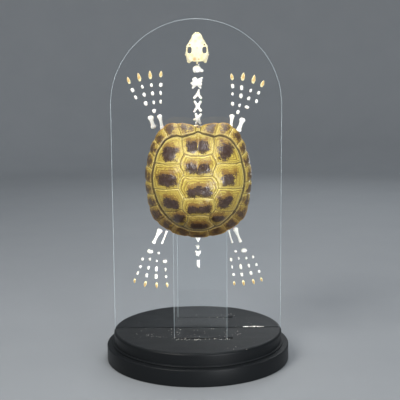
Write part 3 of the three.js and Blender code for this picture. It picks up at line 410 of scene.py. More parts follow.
class StandSettings(bpy.types.PropertyGroup):
    """Base and clear panels"""

    paint: colour_setting("Paint", "Colour of the base's paint", (0.007, 0.008, 0.009))
    dust: colour_setting("Dust", "Colour of the flecks and dried glue", (0.86, 0.84, 0.78))
    sheet: colour_setting("Sheet", "Tint of the clear sheet", (0.985, 0.995, 1.0))
    chamfer: length_setting("Chamfer", "Width of the sheet's sawn corner", 0.32)
    flecks: IntProperty(name="Flecks", description="Dust flecks round the slots", default=110, min=0)


class ShellSettings(bpy.types.PropertyGroup):
    """Carapace and plastron"""

    horn: colour_setting("Horn", "Colour of the horn between its growth lines", (0.51, 0.395, 0.075))
    pale: colour_setting("Pale horn", "Colour of the horn along the seams", (0.80, 0.67, 0.19))
    lines: colour_setting("Growth lines", "Colour of the growth lines", (0.19, 0.115, 0.018))
    patch: colour_setting("Patches", "Colour of the dark patches", (0.026, 0.012, 0.011))
    seam_colour: colour_setting("Seams", "Colour of the seams between the scutes", (0.070, 0.042, 0.014))
    bone: colour_setting("Bone", "Colour of the shell's bony inside", (0.68, 0.57, 0.37))
    seam: length_setting("Seam depth", "Depth of the seams between the scutes", 0.7)
    ring: length_setting("Ring depth", "Depth of the growth rings", 0.11)
    swell: length_setting("Swell", "How far the middle of a scute stands up", 0.9)


class BoneSettings(bpy.types.PropertyGroup):
    """Skull, spine and limbs"""

    bone: colour_setting("Bone", "Colour of the bleached bones", (0.88, 0.87, 0.81))
    skull: colour_setting("Skull", "Colour of the skull", (0.84, 0.75, 0.47))
    stain: colour_setting("Stain", "Colour of the stains on the skull", (0.62, 0.36, 0.12))
    claw: colour_setting("Claws", "Colour of the middle of a claw", (0.50, 0.27, 0.06))
    claw_root: colour_setting("Claw roots", "Colour of a claw's root", (0.86, 0.78, 0.46))
    grain: length_setting("Grain", "Size of the steps in which bones are modelled", 0.3)
    pits: length_setting("Pits", "Depth of the unevenness of the bones", 0.06)


class StageSettings(bpy.types.PropertyGroup):
    """Floor, lights and camera"""

    floor: colour_setting("Floor", "Colour of the plain floor", (0.23, 0.245, 0.26))
    floor_radius: length_setting("Floor radius", "Radius of the floor before it curves up", 1500)
    sky: FloatProperty(name="Sky", description="Strength of the light from all round", default=0.5, min=0)
    key: FloatProperty(name="Key light", description="Power of the main light", unit="POWER", default=20)
    fill: FloatProperty(name="Fill light", description="Power of the low light", unit="POWER", default=20)
    top: FloatProperty(name="Top light", description="Power of the light above", unit="POWER", default=6)
    back: FloatProperty(name="Back light", description="Power of the light behind", unit="POWER", default=4)


# Node trees


class Socket:
    """An output of a node. Arithmetic on it adds Math nodes."""

    def __init__(self, maker, output):
        self.maker = maker
        self.output = output

    def _maths(self, operation, *values):
        return self.maker.add("ShaderNodeMath", {"operation": operation}, dict(enumerate(values)))

    def __add__(self, other):
        return self._maths("ADD", self, other)

    def __radd__(self, other):
        return self._maths("ADD", other, self)

    def __sub__(self, other):
        return self._maths("SUBTRACT", self, other)

    def __rsub__(self, other):
        return self._maths("SUBTRACT", other, self)

    def __mul__(self, other):
        return self._maths("MULTIPLY", self, other)

    def __rmul__(self, other):
        return self._maths("MULTIPLY", other, self)

    def __truediv__(self, other):
        return self._maths("DIVIDE", self, other)

    def __rtruediv__(self, other):
        return self._maths("DIVIDE", other, self)

    def __pow__(self, other):
        return self._maths("POWER", self, other)

    def __rpow__(self, other):
        return self._maths("POWER", other, self)

    def lower(self, other):
        return self._maths("MINIMUM", self, other)

    def higher(self, other):
        return self._maths("MAXIMUM", self, other)

    def size(self):
        return self._maths("ABSOLUTE", self)

    def step(self, start, end):
        """0 before start, 1 past end, and smooth between. Start may be past end."""
        sockets = {"Value": self, "From Min": start, "From Max": end}
        return self.maker.add("ShaderNodeMapRange", {"interpolation_type": "SMOOTHSTEP"}, sockets)


class Maker:
    """Adds nodes to a tree."""

    def __init__(self, tree):
        self.tree = tree

    def add(self, kind, settings=None, sockets=None, out=0):
        """Adds one node. Its settings are set first, then the values or links of its sockets."""
        node = self.tree.nodes.new(kind)
        for name, value in (settings or {}).items():
            setattr(node, name, value)
        for name, value in (sockets or {}).items():
            if isinstance(value, Socket):
                self.tree.links.new(value.output, node.inputs[name])
            else:
                node.inputs[name].default_value = value
        return Socket(self, node.outputs[out]) if node.outputs else node

    def mix(self, factor, first, second, blend="MIX"):
        """One colour over another, each a link or an (r, g, b)."""
        sockets = {0: factor, 6: rgba(first), 7: rgba(second)}
        return self.add("ShaderNodeMix", {"data_type": "RGBA", "blend_type": blend}, sockets, 2)

    def noise(self, place, size, detail=3, rough=0.5, squash=(1, 1, 1)):
        """Noise from about 0.3 to 0.7 whose lumps are size millimetres across."""
        scaled = self.add("ShaderNodeVectorMath", {"operation": "MULTIPLY"}, {0: place, 1: squash})
        sockets = {"Vector": scaled, "Scale": 1 / (size * MM), "Detail": detail, "Roughness": rough}
        return self.add("ShaderNodeTexNoise", None, sockets)

    def place(self):
        """The place on the piece, in metres."""
        return self.add("ShaderNodeTexCoord", None, None, "Object")

    def read(self, name):
        """A mark of the mesh."""
        return self.add("ShaderNodeAttribute", {"attribute_name": name}, None, "Fac")

    def split(self, vector):
        """The three parts of a vector."""
        parts = self.add("ShaderNodeSeparateXYZ", None, {0: vector})
        return [Socket(self, output) for output in parts.output.node.outputs]

    def bump(self, height, millimetres, strength=1.0):
        """A normal that follows a height from 0 to 1."""
        sockets = {"Height": height, "Strength": strength, "Distance": millimetres * MM}
        return self.add("ShaderNodeBump", None, sockets)


def rgba(colour):
    """A link as it is, or an (r, g, b) with its alpha."""
    return colour if isinstance(colour, Socket) else (*tuple(colour)[:3], 1.0)


def finish(group):
    """Makes a material of a function: from a maker and its settings, it returns the Principled sockets."""

    def finish_of(paint):
        def make():
            material = bpy.data.materials.new(paint.__name__)
            material.use_nodes = True
            material.node_tree.nodes.clear()
            maker = Maker(material.node_tree)
            sockets = paint(maker, getattr(bpy.context.scene, group))
            sockets["Base Color"] = rgba(sockets["Base Color"])
            shader = maker.add("ShaderNodeBsdfPrincipled", None, sockets)
            maker.add("ShaderNodeOutputMaterial", None, {"Surface": shader})
            return material

        return make

    return finish_of


# Finishes


@finish("skeleton_stand")
def black_paint(m, look):
    place = m.place()
    film = m.noise(place, 60, 4, 0.6)
    streak = m.noise(place, 9, 3, 0.6, (0.12, 1, 1))
    speck = m.noise(place, 1.3, 2, 0.7).step(0.70, 0.76)
    up = m.split(m.add("ShaderNodeNewGeometry", None, None, "Normal"))[2]
    dusty = up.step(0.6, 1) * (0.25 + film.step(0.35, 0.65) * 0.5 + streak.step(0.45, 0.7) * 0.35)
    colour = m.mix(dusty * 0.016, look.paint, TINTS["paint_haze"])
    colour = m.mix(speck * up.step(0.5, 1) * 0.25, colour, look.dust)
    rough = 0.33 + film * 0.14 + dusty * 0.1
    brushed = m.noise(place, 3.5, 3, 0.5) + m.noise(place, 0.5, 2, 0.6) * 0.25
    return {
        "Base Color": colour, "Roughness": rough, "Specular IOR Level": 0.12,
        "Normal": m.bump(brushed, 0.04, 0.3),
    }


@finish("skeleton_stand")
def clear_sheet(m, look):
    return {"Base Color": look.sheet, "Roughness": 0.0, "IOR": 1.49, "Transmission Weight": 1.0}


@finish("skeleton_stand")
def sheet_edge(m, look):
    saw = m.noise(m.place(), 0.7, 2, 0.6, (1, 0.15, 1))
    return {
        "Base Color": TINTS["sawn_edge"], "Roughness": 0.25, "IOR": 1.49,
        "Transmission Weight": 0.7, "Normal": m.bump(saw, 0.03, 0.3),
    }


def horn_colour(m, look, place, growth_size, unrest=1.0):
    """Horn with growth lines and dark patches, from the attributes of a shell's outside."""
    ring, edge, patch, veil, tone = [m.read(name) for name in ("ring", "edge", "patch", "veil", "tone")]
    wander = m.noise(place, 6, 3, 0.6)
    fine = m.noise(place, 1.3, 4, 0.7)
    lines_at = ring * growth_size + (wander - 0.5) * 1.8 + tone * 7
    bands = {"W": lines_at, "Scale": 1.2, "Detail": 5.0}
    broad = m.add("ShaderNodeTexNoise", {"noise_dimensions": "1D"}, bands)
    lines = broad.step(0.58, 0.40) * ring.step(0.2, 0.5)
    horn = m.mix(edge.step(3.2, 0.3) * (0.3 + wander), look.horn, look.pale)
    horn = m.mix(tone * 0.4, horn, TINTS["horn_gold"])
    horn = m.mix(m.noise(place, 12, 4, 0.65).step(0.5, 0.66) * 0.5, horn, TINTS["horn_olive"])
    horn = m.mix((lines * (0.3 + fine)).lower(1.0), horn, look.lines)
    horn = m.mix(fine.step(0.56, 0.68) * 0.35, horn, TINTS["horn_grime"])
    restless = ((fine - 0.5) * 1.3 + (wander - 0.5) * 1.3 + (broad - 0.5) * 0.6) * unrest
    brown = (veil + restless * 1.3).step(-0.3, 0.35)
    horn = m.mix(brown * 0.78, horn, TINTS["patch_fringe"])
    dark = (patch + restless).step(-0.05, 0.15)
    # Painted reflection: a grey sheen is painted into the dark patches
    painted_sheen = m.noise(place, 3.5, 4, 0.65).step(0.42, 0.66)
    stain = m.mix(painted_sheen * 0.45, look.patch, TINTS["patch_painted_sheen"])
    # Painted highlights: pale flecks near the edges of the dark patches stand in for glints of the lights
    flecks = fine.step(0.57, 0.66) * patch.step(0.8, 0.15)
    stain = m.mix(flecks * 0.7, stain, TINTS["patch_painted_glint"])
    return m.mix(dark * 0.95, horn, stain), broad, fine, dark


@finish("skeleton_shell")
def shell_horn(m, look):
    place = m.place()
    height = m.split(place)[2]
    edge, groove, band = [m.read(name) for name in ("edge", "groove", "band")]
    on_rim = band.step(1.0, 1.04)
    colour, broad, fine, dark = horn_colour(m, look, place, 9, 1 + on_rim * 0.9)
    colour = m.mix(on_rim * 0.12, colour, TINTS["edge_horn"])
    # The lower scutes are darker towards the bottom: partly their darker horn, partly painted shade for the
    # light that falls from above
    low = height.step(0.202, 0.150)
    colour = m.mix(low * 0.85, colour, TINTS["low_horn_and_painted_shade"], "MULTIPLY")
    colour = m.mix(low * fine.step(0.45, 0.6) * 0.5, colour, TINTS["low_mottle_and_painted_shade"])
    lip = groove.size().step(3.2, 1.7) * groove.size().step(1.2, 1.8)
    colour = m.mix(lip * 0.3, colour, TINTS["worn_lip"])
    furrow = groove.size().step(1.7, 0.6)
    colour = m.mix(furrow * 0.9, colour, TINTS["furrow"])
    seam = edge.step(0.6, 0.1) * (1 - furrow)
    colour = m.mix(seam * 0.8, colour, look.seam_colour)
    rim = band.step(1.86, 2.0)
    colour = m.mix(rim * 0.45, colour, TINTS["rim_horn"])
    rough = 0.34 + fine * 0.16 + furrow * 0.45 - dark * 0.07
    relief = fine * 0.5 + broad * 0.8
    return {
        "Base Color": colour, "Roughness": rough, "Specular IOR Level": 0.5,
        "Coat Weight": 0.12 - furrow * 0.12, "Coat Roughness": 0.25,
        "Normal": m.bump(relief, 0.09, 0.8),
    }


@finish("skeleton_shell")
def shell_bone(m, look):
    place = m.place()
    cloud = m.noise(place, 14, 4, 0.6)
    pores = m.noise(place, 1.1, 3, 0.7)
    suture = m.read("edge") + (m.noise(place, 2.2, 3, 0.7) - 0.5) * 1.4
    colour = m.mix(cloud.step(0.4, 0.65) * 0.6, look.bone, TINTS["shell_cloud"])
    colour = m.mix(pores.step(0.6, 0.72) * 0.35, colour, TINTS["shell_pore"])
    colour = m.mix(suture.step(0.45, 0.1) * 0.75, colour, TINTS["shell_suture"])
    relief = pores * 0.6 + suture.step(0.1, 0.5) * 0.6
    return {
        "Base Color": colour, "Roughness": 0.62 + pores * 0.1, "Specular IOR Level": 0.35,
        "Normal": m.bump(relief, 0.15, 0.7),
    }


@finish("skeleton_shell")
def plastron_horn(m, look):
    place = m.place()
    colour, broad, fine, _ = horn_colour(m, look, place, 5)
    colour = m.mix(0.25, colour, TINTS["belly_horn"])
    seam = m.read("edge").step(0.5, 0.1)
    colour = m.mix(seam * 0.75, colour, look.seam_colour)
    relief = fine * 0.4 + broad * 0.8
    return {
        "Base Color": colour, "Roughness": 0.36 + fine * 0.14, "Coat Weight": 0.1,
        "Coat Roughness": 0.3, "Normal": m.bump(relief, 0.08, 0.8),
    }


@finish("skeleton_bones")
def white_bone(m, look):
    place = m.place()
    cloud = m.noise(place, 5, 4, 0.6)
    pores = m.noise(place, 0.55, 3, 0.7)
    colour = m.mix(cloud.step(0.5, 0.7) * 0.3, look.bone, TINTS["bone_cloud"])
    colour = m.mix(pores.step(0.62, 0.72) * 0.2, colour, TINTS["bone_pore"])
    return {
        "Base Color": colour, "Roughness": 0.5 + pores * 0.15, "Specular IOR Level": 0.4,
        "Subsurface Weight": 0.12, "Subsurface Radius": (0.004, 0.003, 0.002),
        "Subsurface Scale": 0.3, "Normal": m.bump(pores + cloud, 0.08, 0.7),
    }


@finish("skeleton_bones")
def skull_bone(m, look):
    place = m.place()
    x, _, z = m.split(place)
    cloud = m.noise(place, 4, 4, 0.6)
    pores = m.noise(place, 0.6, 3, 0.7)
    wander = (m.noise(place, 2, 3, 0.6) - 0.5) * 0.9

    def spots(marks):
        spread = []
        for across, up, radius in marks:
            to_x = (x / MM - (SKULL_X + across)) / radius
            to_z = (z / MM - up) / radius
            spread.append((1.15 - (to_x * to_x + to_z * to_z) ** 0.5 + wander).step(0.0, 0.9))
        return functools.reduce(Socket.higher, spread)

    colour = m.mix(cloud.step(0.42, 0.7) * 0.55, look.skull, TINTS["skull_cloud"])
    colour = m.mix(spots(YELLOW_MARKS) * 0.55, colour, TINTS["skull_yellow"])
    colour = m.mix(spots(TAN_MARKS) * 0.7, colour, look.stain)
    # Painted shade: the carved pit is darkened
    colour = m.mix(spots(PIT_SHADE_MARKS) * 0.9, colour, TINTS["skull_pit_painted_shade"])
    suture = (m.noise(place, 5, 2, 0.5) - 0.5).size().step(0.012, 0.0)
    colour = m.mix(suture * 0.2, colour, TINTS["skull_suture"])
    colour = m.mix(pores.step(0.62, 0.72) * 0.2, colour, TINTS["skull_pore"])
    relief = pores + cloud - suture * 0.3
    return {
        "Base Color": colour, "Roughness": 0.46 + pores * 0.14, "Specular IOR Level": 0.42,
        "Subsurface Weight": 0.1, "Subsurface Radius": (0.004, 0.003, 0.002),
        "Subsurface Scale": 0.3, "Normal": m.bump(relief, 0.09, 0.7),
    }


@finish("skeleton_bones")
def claw_horn(m, look):
    place = m.place()
    share = m.read("along")
    streaks = m.noise(place, 0.8, 3, 0.6)
    facing = m.split(m.add("ShaderNodeNewGeometry", None, None, "Normal"))[1].size()
    core = share.step(0.14, 0.38) * facing.step(0.55, 0.97)
    colour = m.mix(core * 0.9, look.claw_root, look.claw)
    colour = m.mix(share.step(0.78, 1.0) * 0.5, colour, TINTS["claw_tip"])
    colour = m.mix(streaks.step(0.5, 0.7) * 0.4, colour, TINTS["claw_streak"])
    return {
        "Base Color": colour, "Roughness": 0.32 + streaks * 0.15, "Coat Weight": 0.15,
        "Coat Roughness": 0.2, "Normal": m.bump(streaks, 0.06, 0.6),
    }


@finish("skeleton_stand")
def dry_dust(m, look):
    cloud = m.noise(m.place(), 1.5, 2)
    colour = m.mix(cloud, look.dust, TINTS["dust_shade"])
    return {"Base Color": colour, "Roughness": 0.8}


@finish("skeleton_stand")
def dried_glue(m, look):
    cloud = m.noise(m.place(), 2, 3)
    colour = m.mix(cloud.step(0.42, 0.6), TINTS["glue_shade"], look.dust)
    return {"Base Color": colour, "Roughness": 0.4 + cloud * 0.2, "Normal": m.bump(cloud, 0.2, 0.8)}


@finish("skeleton_stage")
def floor_matt(m, look):
    cloud = m.noise(m.place(), 90, 2)
    return {"Base Color": m.mix(cloud * 0.06, look.floor, TINTS["floor_cloud"]), "Roughness": 0.75}


# Meshes


def write_marks(mesh, marks):
    """Writes marks, one number for each point, onto a mesh."""
    for key, values in marks.items():
        mesh.attributes.new(key, "FLOAT", "POINT").data.foreach_set("value", np.asarray(values, np.float32))


def mesh_of(name, points, faces, materials, marks=None, sharp=60):
    """A mesh object from points in millimetres, smooth except where faces meet at over sharp degrees."""
    mesh = bpy.data.meshes.new(name)
    rows = [list(map(int, face)) for face in faces]
    mesh.from_pydata((np.asarray(points, float) * MM).tolist(), [], rows)
    write_marks(mesh, marks or {})
    for material in materials:
        mesh.materials.append(material)
    mesh.validate()
    mesh.shade_smooth()
    mesh.set_sharp_from_angle(angle=math.radians(sharp))
    made = bpy.data.objects.new(name, mesh)
    bpy.context.scene.collection.objects.link(made)
    return made


def plain_mesh(made):
    """Applies what the object's modifiers do, and leaves none on it."""
    evaluated = made.evaluated_get(bpy.context.evaluated_depsgraph_get())
    mesh = bpy.data.meshes.new_from_object(evaluated)
    made.modifiers.clear()
    old = made.data
    made.data = mesh
    bpy.data.meshes.remove(old)
    mesh.name = made.name
    return made


def seat(made, slot, *nodes):
    """The piece rides with the object, takes a slot's finish and stands for CAD nodes."""
    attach(made, "root")
    if nodes:
        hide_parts(*nodes)
    return made


def along(table, places):
    """Values read from a table of (place, value), on a smooth line through its points."""
    xs, ys = np.array(table, float).T
    slopes = np.zeros(len(xs))
    slopes[1:-1] = (ys[2:] - ys[:-2]) / (xs[2:] - xs[:-2])
    i = np.clip(np.searchsorted(xs, places) - 1, 0, len(xs) - 2)
    span = xs[i + 1] - xs[i]
    t = (places - xs[i]) / span
    ends = (2 * t**3 - 3 * t**2 + 1) * ys[i] + (3 * t**2 - 2 * t**3) * ys[i + 1]
    return ends + span * ((t**3 - 2 * t**2 + t) * slopes[i] + (t**3 - t**2) * slopes[i + 1])


def ease(values, start, end):
    """0 up to start, 1 from end, and smooth between."""
    t = np.clip((values - start) / (end - start), 0, 1)
    return t * t * (3 - 2 * t)


def ripple(points, wavelength, seed, waves=6):
    """Smooth unevenness, about -1 to 1, from crossed waves of about that length."""
    numbers = np.random.default_rng(seed)
    total = np.zeros(points.shape[:-1])
    for _ in range(waves):
        direction = numbers.normal(size=points.shape[-1])
        direction *= 2 * np.pi / (wavelength * numbers.uniform(0.7, 1.5) * np.linalg.norm(direction))
        total += np.sin(points @ direction + numbers.uniform(0, 2 * np.pi))
    return total / math.sqrt(2 * waves)


# Bones are modelled as fields: below 0 inside, and about the distance to the surface in millimetres


def ball(p, middle, sizes):
    """An oval, by its middle and its half sizes."""
    q = (p - np.array(middle)) / np.array(sizes)
    k = np.linalg.norm(q, axis=-1)
    slope = np.linalg.norm(q / np.array(sizes), axis=-1)
    return np.where(k < 1e-6, -min(sizes), k * (k - 1) / np.maximum(slope, 1e-6))


def rod(p, start, end, first, last):
    """A rod with round ends, and one radius at each."""
    start = np.array(start, float)
    run = np.array(end, float) - start
    t = np.clip(((p - start) @ run) / max(run @ run, 1e-9), 0, 1)
    return np.linalg.norm(p - start - t[..., None] * run, axis=-1) - (first + (last - first) * t)


def melt(reach, *fields):
    """Joins fields, with a fillet of about that reach."""
    joined = fields[0]
    for field in fields[1:]:
        h = np.clip(0.5 + 0.5 * (field - joined) / reach, 0, 1)
        joined = field + (joined - field) * h - reach * h * (1 - h)
    return joined


def carve(body, hole, reach=0.3):
    """Takes the hole out of the body, with its lip rounded."""
    return -melt(reach, -body, hole)


def cells_round(edges, axis):
    """The four cells round each edge of a grid that runs along that axis, one after the other."""
    others = [k for k in range(3) if k != axis]
    for shift in ((0, 0), (1, 0), (1, 1), (0, 1)):
        cells = edges.copy()
        cells[:, others] -= shift
        yield cells


def skin(field, low, high, step):
    """The surface of a field, as points and faces: one point in each cell that the surface crosses."""
    low = np.array(low, float)
    counts = np.ceil((np.array(high, float) - low) / step).astype(int) + 1
    axes = [low[k] + step * np.arange(counts[k]) for k in range(3)]
    grid = np.stack(np.meshgrid(*axes, indexing="ij"), -1)
    values = field(grid)
    inside = values < 0
    cells = counts - 1
    total = np.zeros((*cells, 3))
    hits = np.zeros(cells)
    crossings = []
    for axis in range(3):
        before, after = [slice(None)] * 3, [slice(None)] * 3
        before[axis], after[axis] = slice(None, -1), slice(1, None)
        before, after = tuple(before), tuple(after)
        crossed = inside[before] != inside[after]
        at = np.argwhere(crossed)
        first, second = values[before][crossed], values[after][crossed]
        spot = grid[before][crossed].copy()
        spot[:, axis] += step * first / (first - second)
        crossings.append((axis, at, inside[before][crossed]))
        for cell in cells_round(at, axis):
            real = ((cell >= 0) & (cell < cells)).all(1)
            np.add.at(total, tuple(cell[real].T), spot[real])
            np.add.at(hits, tuple(cell[real].T), 1)
    used = hits > 0
    number = np.full(cells, -1)
    number[used] = np.arange(used.sum())
    points = total[used] / hits[used][:, None]
    faces = []
    for axis, at, leaving in crossings:
        corners = [number[tuple(np.clip(cell, 0, cells - 1).T)] for cell in cells_round(at, axis)]
        quads = np.stack(corners, 1)
        turned = leaving if axis == 1 else ~leaving
        quads[turned] = quads[turned][:, ::-1]
        faces.append(quads)
    return settled(field, points, step), np.concatenate(faces)


def settled(field, points, step):
    """Moves points onto the surface of the field."""
    small = step * 0.1
    for _ in range(2):
        value = field(points)
        slope = np.stack([(field(points + np.eye(3)[k] * small) - value) / small for k in range(3)], -1)
        size = np.maximum((slope**2).sum(-1), 0.2)
        move = np.clip(value / size, -step * 0.5, step * 0.5)
        points = points - slope * move[:, None]
    return points


def shifted(field, offset):
    """The same field at another place."""
    return lambda p: field(p - offset)


def bone_piece(name, field, low, high, material, node, step=None):
    """A bone from its field, set so that it just touches the panel's side that it lies on."""
    look = bpy.context.scene.skeleton_bones
    grain = step or look.grain / MM
    rough = look.pits / MM
    seed = sum(map(ord, name))

    def uneven(p):
        return field(p) + rough * ripple(p, 2.4, seed) + 0.5 * rough * ripple(p, 0.9, seed + 1)

    points, faces = skin(uneven, low, high, grain)
    points[:, 1] += BONES_BACK - points[:, 1].max()
    return seat(mesh_of(name, points, faces, [material], sharp=180), "bone", node)


def limb_field(line, depth):
    """A limb bone's field: a shaft through its line, with a pair of knobs at each end."""
    widest = max(width for _, _, width in line)
    flat = widest / depth

    def field(p):
        q = p * np.array([1, flat, 1]) + np.array([0, widest, 0])
        shaft = [
            rod(q, (x0, 0, z0), (x1, 0, z1), w0 * 0.92, w1 * 0.92)
            for (x0, z0, w0), (x1, z1, w1) in zip(line[1:-2], line[2:-1])
        ]
        knobs = []
        for tip, neck in ((line[0], line[1]), (line[-1], line[-2])):
            run = np.array([tip[0] - neck[0], tip[1] - neck[1]])
            run /= np.linalg.norm(run)
            side = np.array([run[1], -run[0]])
            radius = neck[2] * 0.58
            for share in (-1, 1):
                x, z = np.array(neck[:2]) + run * 0.7 + side * share * (neck[2] - radius)
                knobs.append(rod(q, (neck[0], 0, neck[1]), (x, -0.3 * share, z), radius, radius))
        return melt(0.9, *shaft, *knobs) / flat**0.5

    reach = widest + 1.5
    xs = [x for x, _, _ in line]
    zs = [z for _, z, _ in line]
    low = (min(xs) - reach, -2 * depth - 1, min(zs) - reach)
    high = (max(xs) + reach, 1, max(zs) + reach)
    return field, low, high


def flat_bone_field(lines, depth, mirror=False):
    """A flattened bone's field, from branches of [x, z, half width]."""

    def field(p):
        q = np.stack([np.abs(p[..., 0]), p[..., 1], p[..., 2]], -1) if mirror else p
        parts = []
        for line in lines:
            for (x0, z0, w0), (x1, z1, w1) in zip(line, line[1:]):
                squash = 0.5 * (w0 + w1) / depth
                flat = q * np.array([1, squash, 1]) + np.array([0, 0.5 * (w0 + w1), 0])
                parts.append(rod(flat, (x0, 0, z0), (x1, 0, z1), w0, w1) / max(squash, 1) ** 0.5)
        return melt(1.2, *parts)

    return field


# Shapes of the shell


def disc_grid(count):
    """Points of a round sheet as [u, v] inside the unit circle, its square faces, and its rim's order."""
    steps = np.linspace(-1, 1, count + 1)
    x, y = np.meshgrid(steps, steps, indexing="ij")
    flat = np.abs(x) >= np.abs(y)
    safe_x, safe_y = np.where(x == 0, 1, x), np.where(y == 0, 1, y)
    angle = np.where(flat, np.pi / 4 * y / safe_x, np.pi / 2 - np.pi / 4 * x / safe_y)
    radius = np.where(flat, x, y)
    uv = np.stack([radius * np.cos(angle), radius * np.sin(angle)], -1)
    size = count + 1
    index = np.arange(size * size).reshape(size, size)
    a, b, c, d = index[:-1, :-1], index[1:, :-1], index[1:, 1:], index[:-1, 1:]
    faces = np.stack([a, b, c, d], -1).reshape(-1, 4)
    rim = np.concatenate([index[:-1, 0], index[-1, :-1], index[:0:-1, -1], index[0, :0:-1]])
    return uv.reshape(-1, 2), faces, rim


def closed_shell(outer, inner, outer_faces, inner_faces, outer_rim, inner_rim):
    """Joins an outer and an inner sheet, whose rims have two steps to one, into one closed surface."""
    shift = len(outer)
    faces = [tuple(face) for face in outer_faces]
    faces += [tuple(shift + k for k in face[::-1]) for face in inner_faces]
    count = len(inner_rim)
    for k in range(count):
        after = (k + 1) % count
        a, b, c = outer_rim[2 * k], outer_rim[2 * k + 1], outer_rim[(2 * k + 2) % len(outer_rim)]
        faces.append((c, b, a, shift + inner_rim[k], shift + inner_rim[after]))
    return np.concatenate([outer, inner]), faces


def shell_at(u, v, lift):
    """Points of the shell from its chart: 0 is the top of the dome, 1 the edge seam and 2 the rim."""
    out = np.hypot(u, v)
    degrees = np.degrees(np.arctan2(np.abs(u), v))
    seam_radius, seam_height = along(SEAM_RADIUS, degrees), along(SEAM_HEIGHT, degrees)
    inner = np.minimum(out, 1)
    down = np.clip(out - 1, 0, 1)
    at_bridge = np.sin(np.radians(degrees)) ** 4
    radius = seam_radius * inner + (along(RIM_RADIUS, degrees) - seam_radius) * down
    radius += BRIDGE_BULGE * at_bridge * 4 * down * (1 - down)
    to_seam = np.abs(degrees[:, None] - np.array(EDGE_SCUTES)).min(1)
    radius -= SCALLOP * np.exp(-((to_seam / SCALLOP_WIDTH) ** 2)) * down**2
    height = seam_height + (SHELL["dome"] - seam_height) * (1 - inner**DOME_POWER)
    height += (along(RIM_HEIGHT, degrees) - seam_height) * down
    safe = np.maximum(out, 1e-9)
    a, b = u / safe * radius, v / safe * radius
    away = np.stack([a, b, height + SHELL["middle"]], -1)
    away /= np.linalg.norm(away, axis=-1)[:, None]
    a, b, height = (np.stack([a, b, height], -1) + away * np.asarray(lift)[:, None]).T
    return np.stack([SHELL["x"] + a, SHELL_BACK - height, SHELL["z"] + b], -1)


def edge_plan(start, end):
    """Plan points along the edge seam between two angles."""
    degrees = np.arange(start, end + 0.01, 1.5)
    radius = along(SEAM_RADIUS, np.abs(degrees))
    turn = np.radians(degrees)
    return list(zip(radius * np.sin(turn), radius * np.cos(turn)))


def mirror_of(points):
    """A plan line on the other half of the shell, in the order that keeps its sense."""
    return [(-a, b) for a, b in points][::-1]


def big_scutes():
    """The plan outlines of the big scutes, each with the heart that it grew from."""
    m = EDGE_MEETINGS

    def back(line):
        return line[::-1]

    halves = [
        [*edge_plan(0, m["v1_c1"]), *V1_C1[1:], *back(V1_V2)[1:]],
        [*V1_V2, *V2_C1[1:], *V2_C2[1:], *back(V2_V3)[1:]],
        [*V2_V3, *V3_C2[1:], *V3_C3[1:], *back(V3_V4)[1:]],
        [*V3_V4, *V4_C3[1:], *V4_C4[1:], *back(V4_V5)[1:]],
        [*V4_V5, *V5_C4[1:], *edge_plan(m["v5_c4"], 180)],
    ]
    sides = [
        [*edge_plan(m["v1_c1"], m["c1_c2"]), *back(C1_C2), *back(V2_C1)[1:], *back(V1_C1)[1:]],
        [*edge_plan(m["c1_c2"], m["c2_c3"]), *back(C2_C3), *back(V3_C2)[1:], *back(V2_C2)[1:], *C1_C2[1:]],
        [*edge_plan(m["c2_c3"], m["c3_c4"]), *back(C3_C4), *back(V4_C3)[1:], *back(V3_C3)[1:], *C2_C3[1:]],
        [*edge_plan(m["c3_c4"], m["v5_c4"]), *back(V5_C4), *back(V4_C4)[1:], *C3_C4[1:]],
    ]
    scutes = []
    for half, heart in zip(halves, MIDDLE_HEARTS):
        scutes.append((np.array([*half, *mirror_of(half)[1:-1]]), np.array(heart)))
    for side, heart in zip(sides, SIDE_HEARTS):
        scutes.append((np.array(side), np.array(heart)))
        scutes.append((np.array(mirror_of(side)), np.array(heart) * (-1, 1)))
    return scutes


def growth(points, outline, heart):
    """How far out from the heart of an outline each point is: 0 at the heart, 1 on the outline."""
    ring = np.full(len(points), 9.0)
    d = points - heart
    for q0, q1 in zip(outline - heart, np.roll(outline, -1, 0) - heart):
        turn = q0[0] * q1[1] - q0[1] * q1[0]
        if abs(turn) < 1e-9:
            continue
        share0 = (d[:, 0] * q1[1] - d[:, 1] * q1[0]) / turn
        share1 = (q0[0] * d[:, 1] - q0[1] * d[:, 0]) / turn
        here = (share0 >= -1e-9) & (share1 >= -1e-9)
        ring[here] = np.minimum(ring[here], share0[here] + share1[here])
    return ring


def nearest_edge(points, outline):
    """The distance from each point to an outline."""
    best = np.full(len(points), 1e9)
    for q0, q1 in zip(outline, np.roll(outline, -1, 0)):
        run = q1 - q0
        t = np.clip(((points - q0) @ run) / max(run @ run, 1e-9), 0, 1)
        best = np.minimum(best, np.linalg.norm(points - q0 - t[:, None] * run, axis=1))
    return best


def read_scutes(points, scutes):
    """For each plan point: its ring, its distance to a seam, and its scute's number."""
    rings = np.stack([growth(points, outline, heart) for outline, heart in scutes])
    which = rings.argmin(0)
    ring = np.clip(rings.min(0), 0, 1)
    edge = np.zeros(len(points))
    for number, (outline, _) in enumerate(scutes):
        mine = which == number
        edge[mine] = nearest_edge(points[mine], outline)
    return ring, edge, which


def patches_at(points, patches, wedges):
    """The dark patches: over 0 inside, and growing inwards."""
    patch = np.full(len(points), -2.0)
    for a, b, half_a, half_b, power in patches:
        to_a, to_b = np.abs(points - (a, b)).T / np.array([[half_a], [half_b]])
        patch = np.maximum(patch, 1 - (to_a**power + to_b**power) ** (1 / power))
    for a, top, bottom, half in wedges:
        share = np.clip((points[:, 1] - bottom) / (top - bottom), 0, 1)
        inside = 1 - np.abs(points[:, 0] - a) / np.maximum(half * share, 1e-6)
        patch = np.where((share > 0) & (share < 1) & (inside > 0), np.minimum(patch, -inside * 0.8), patch)
    return patch


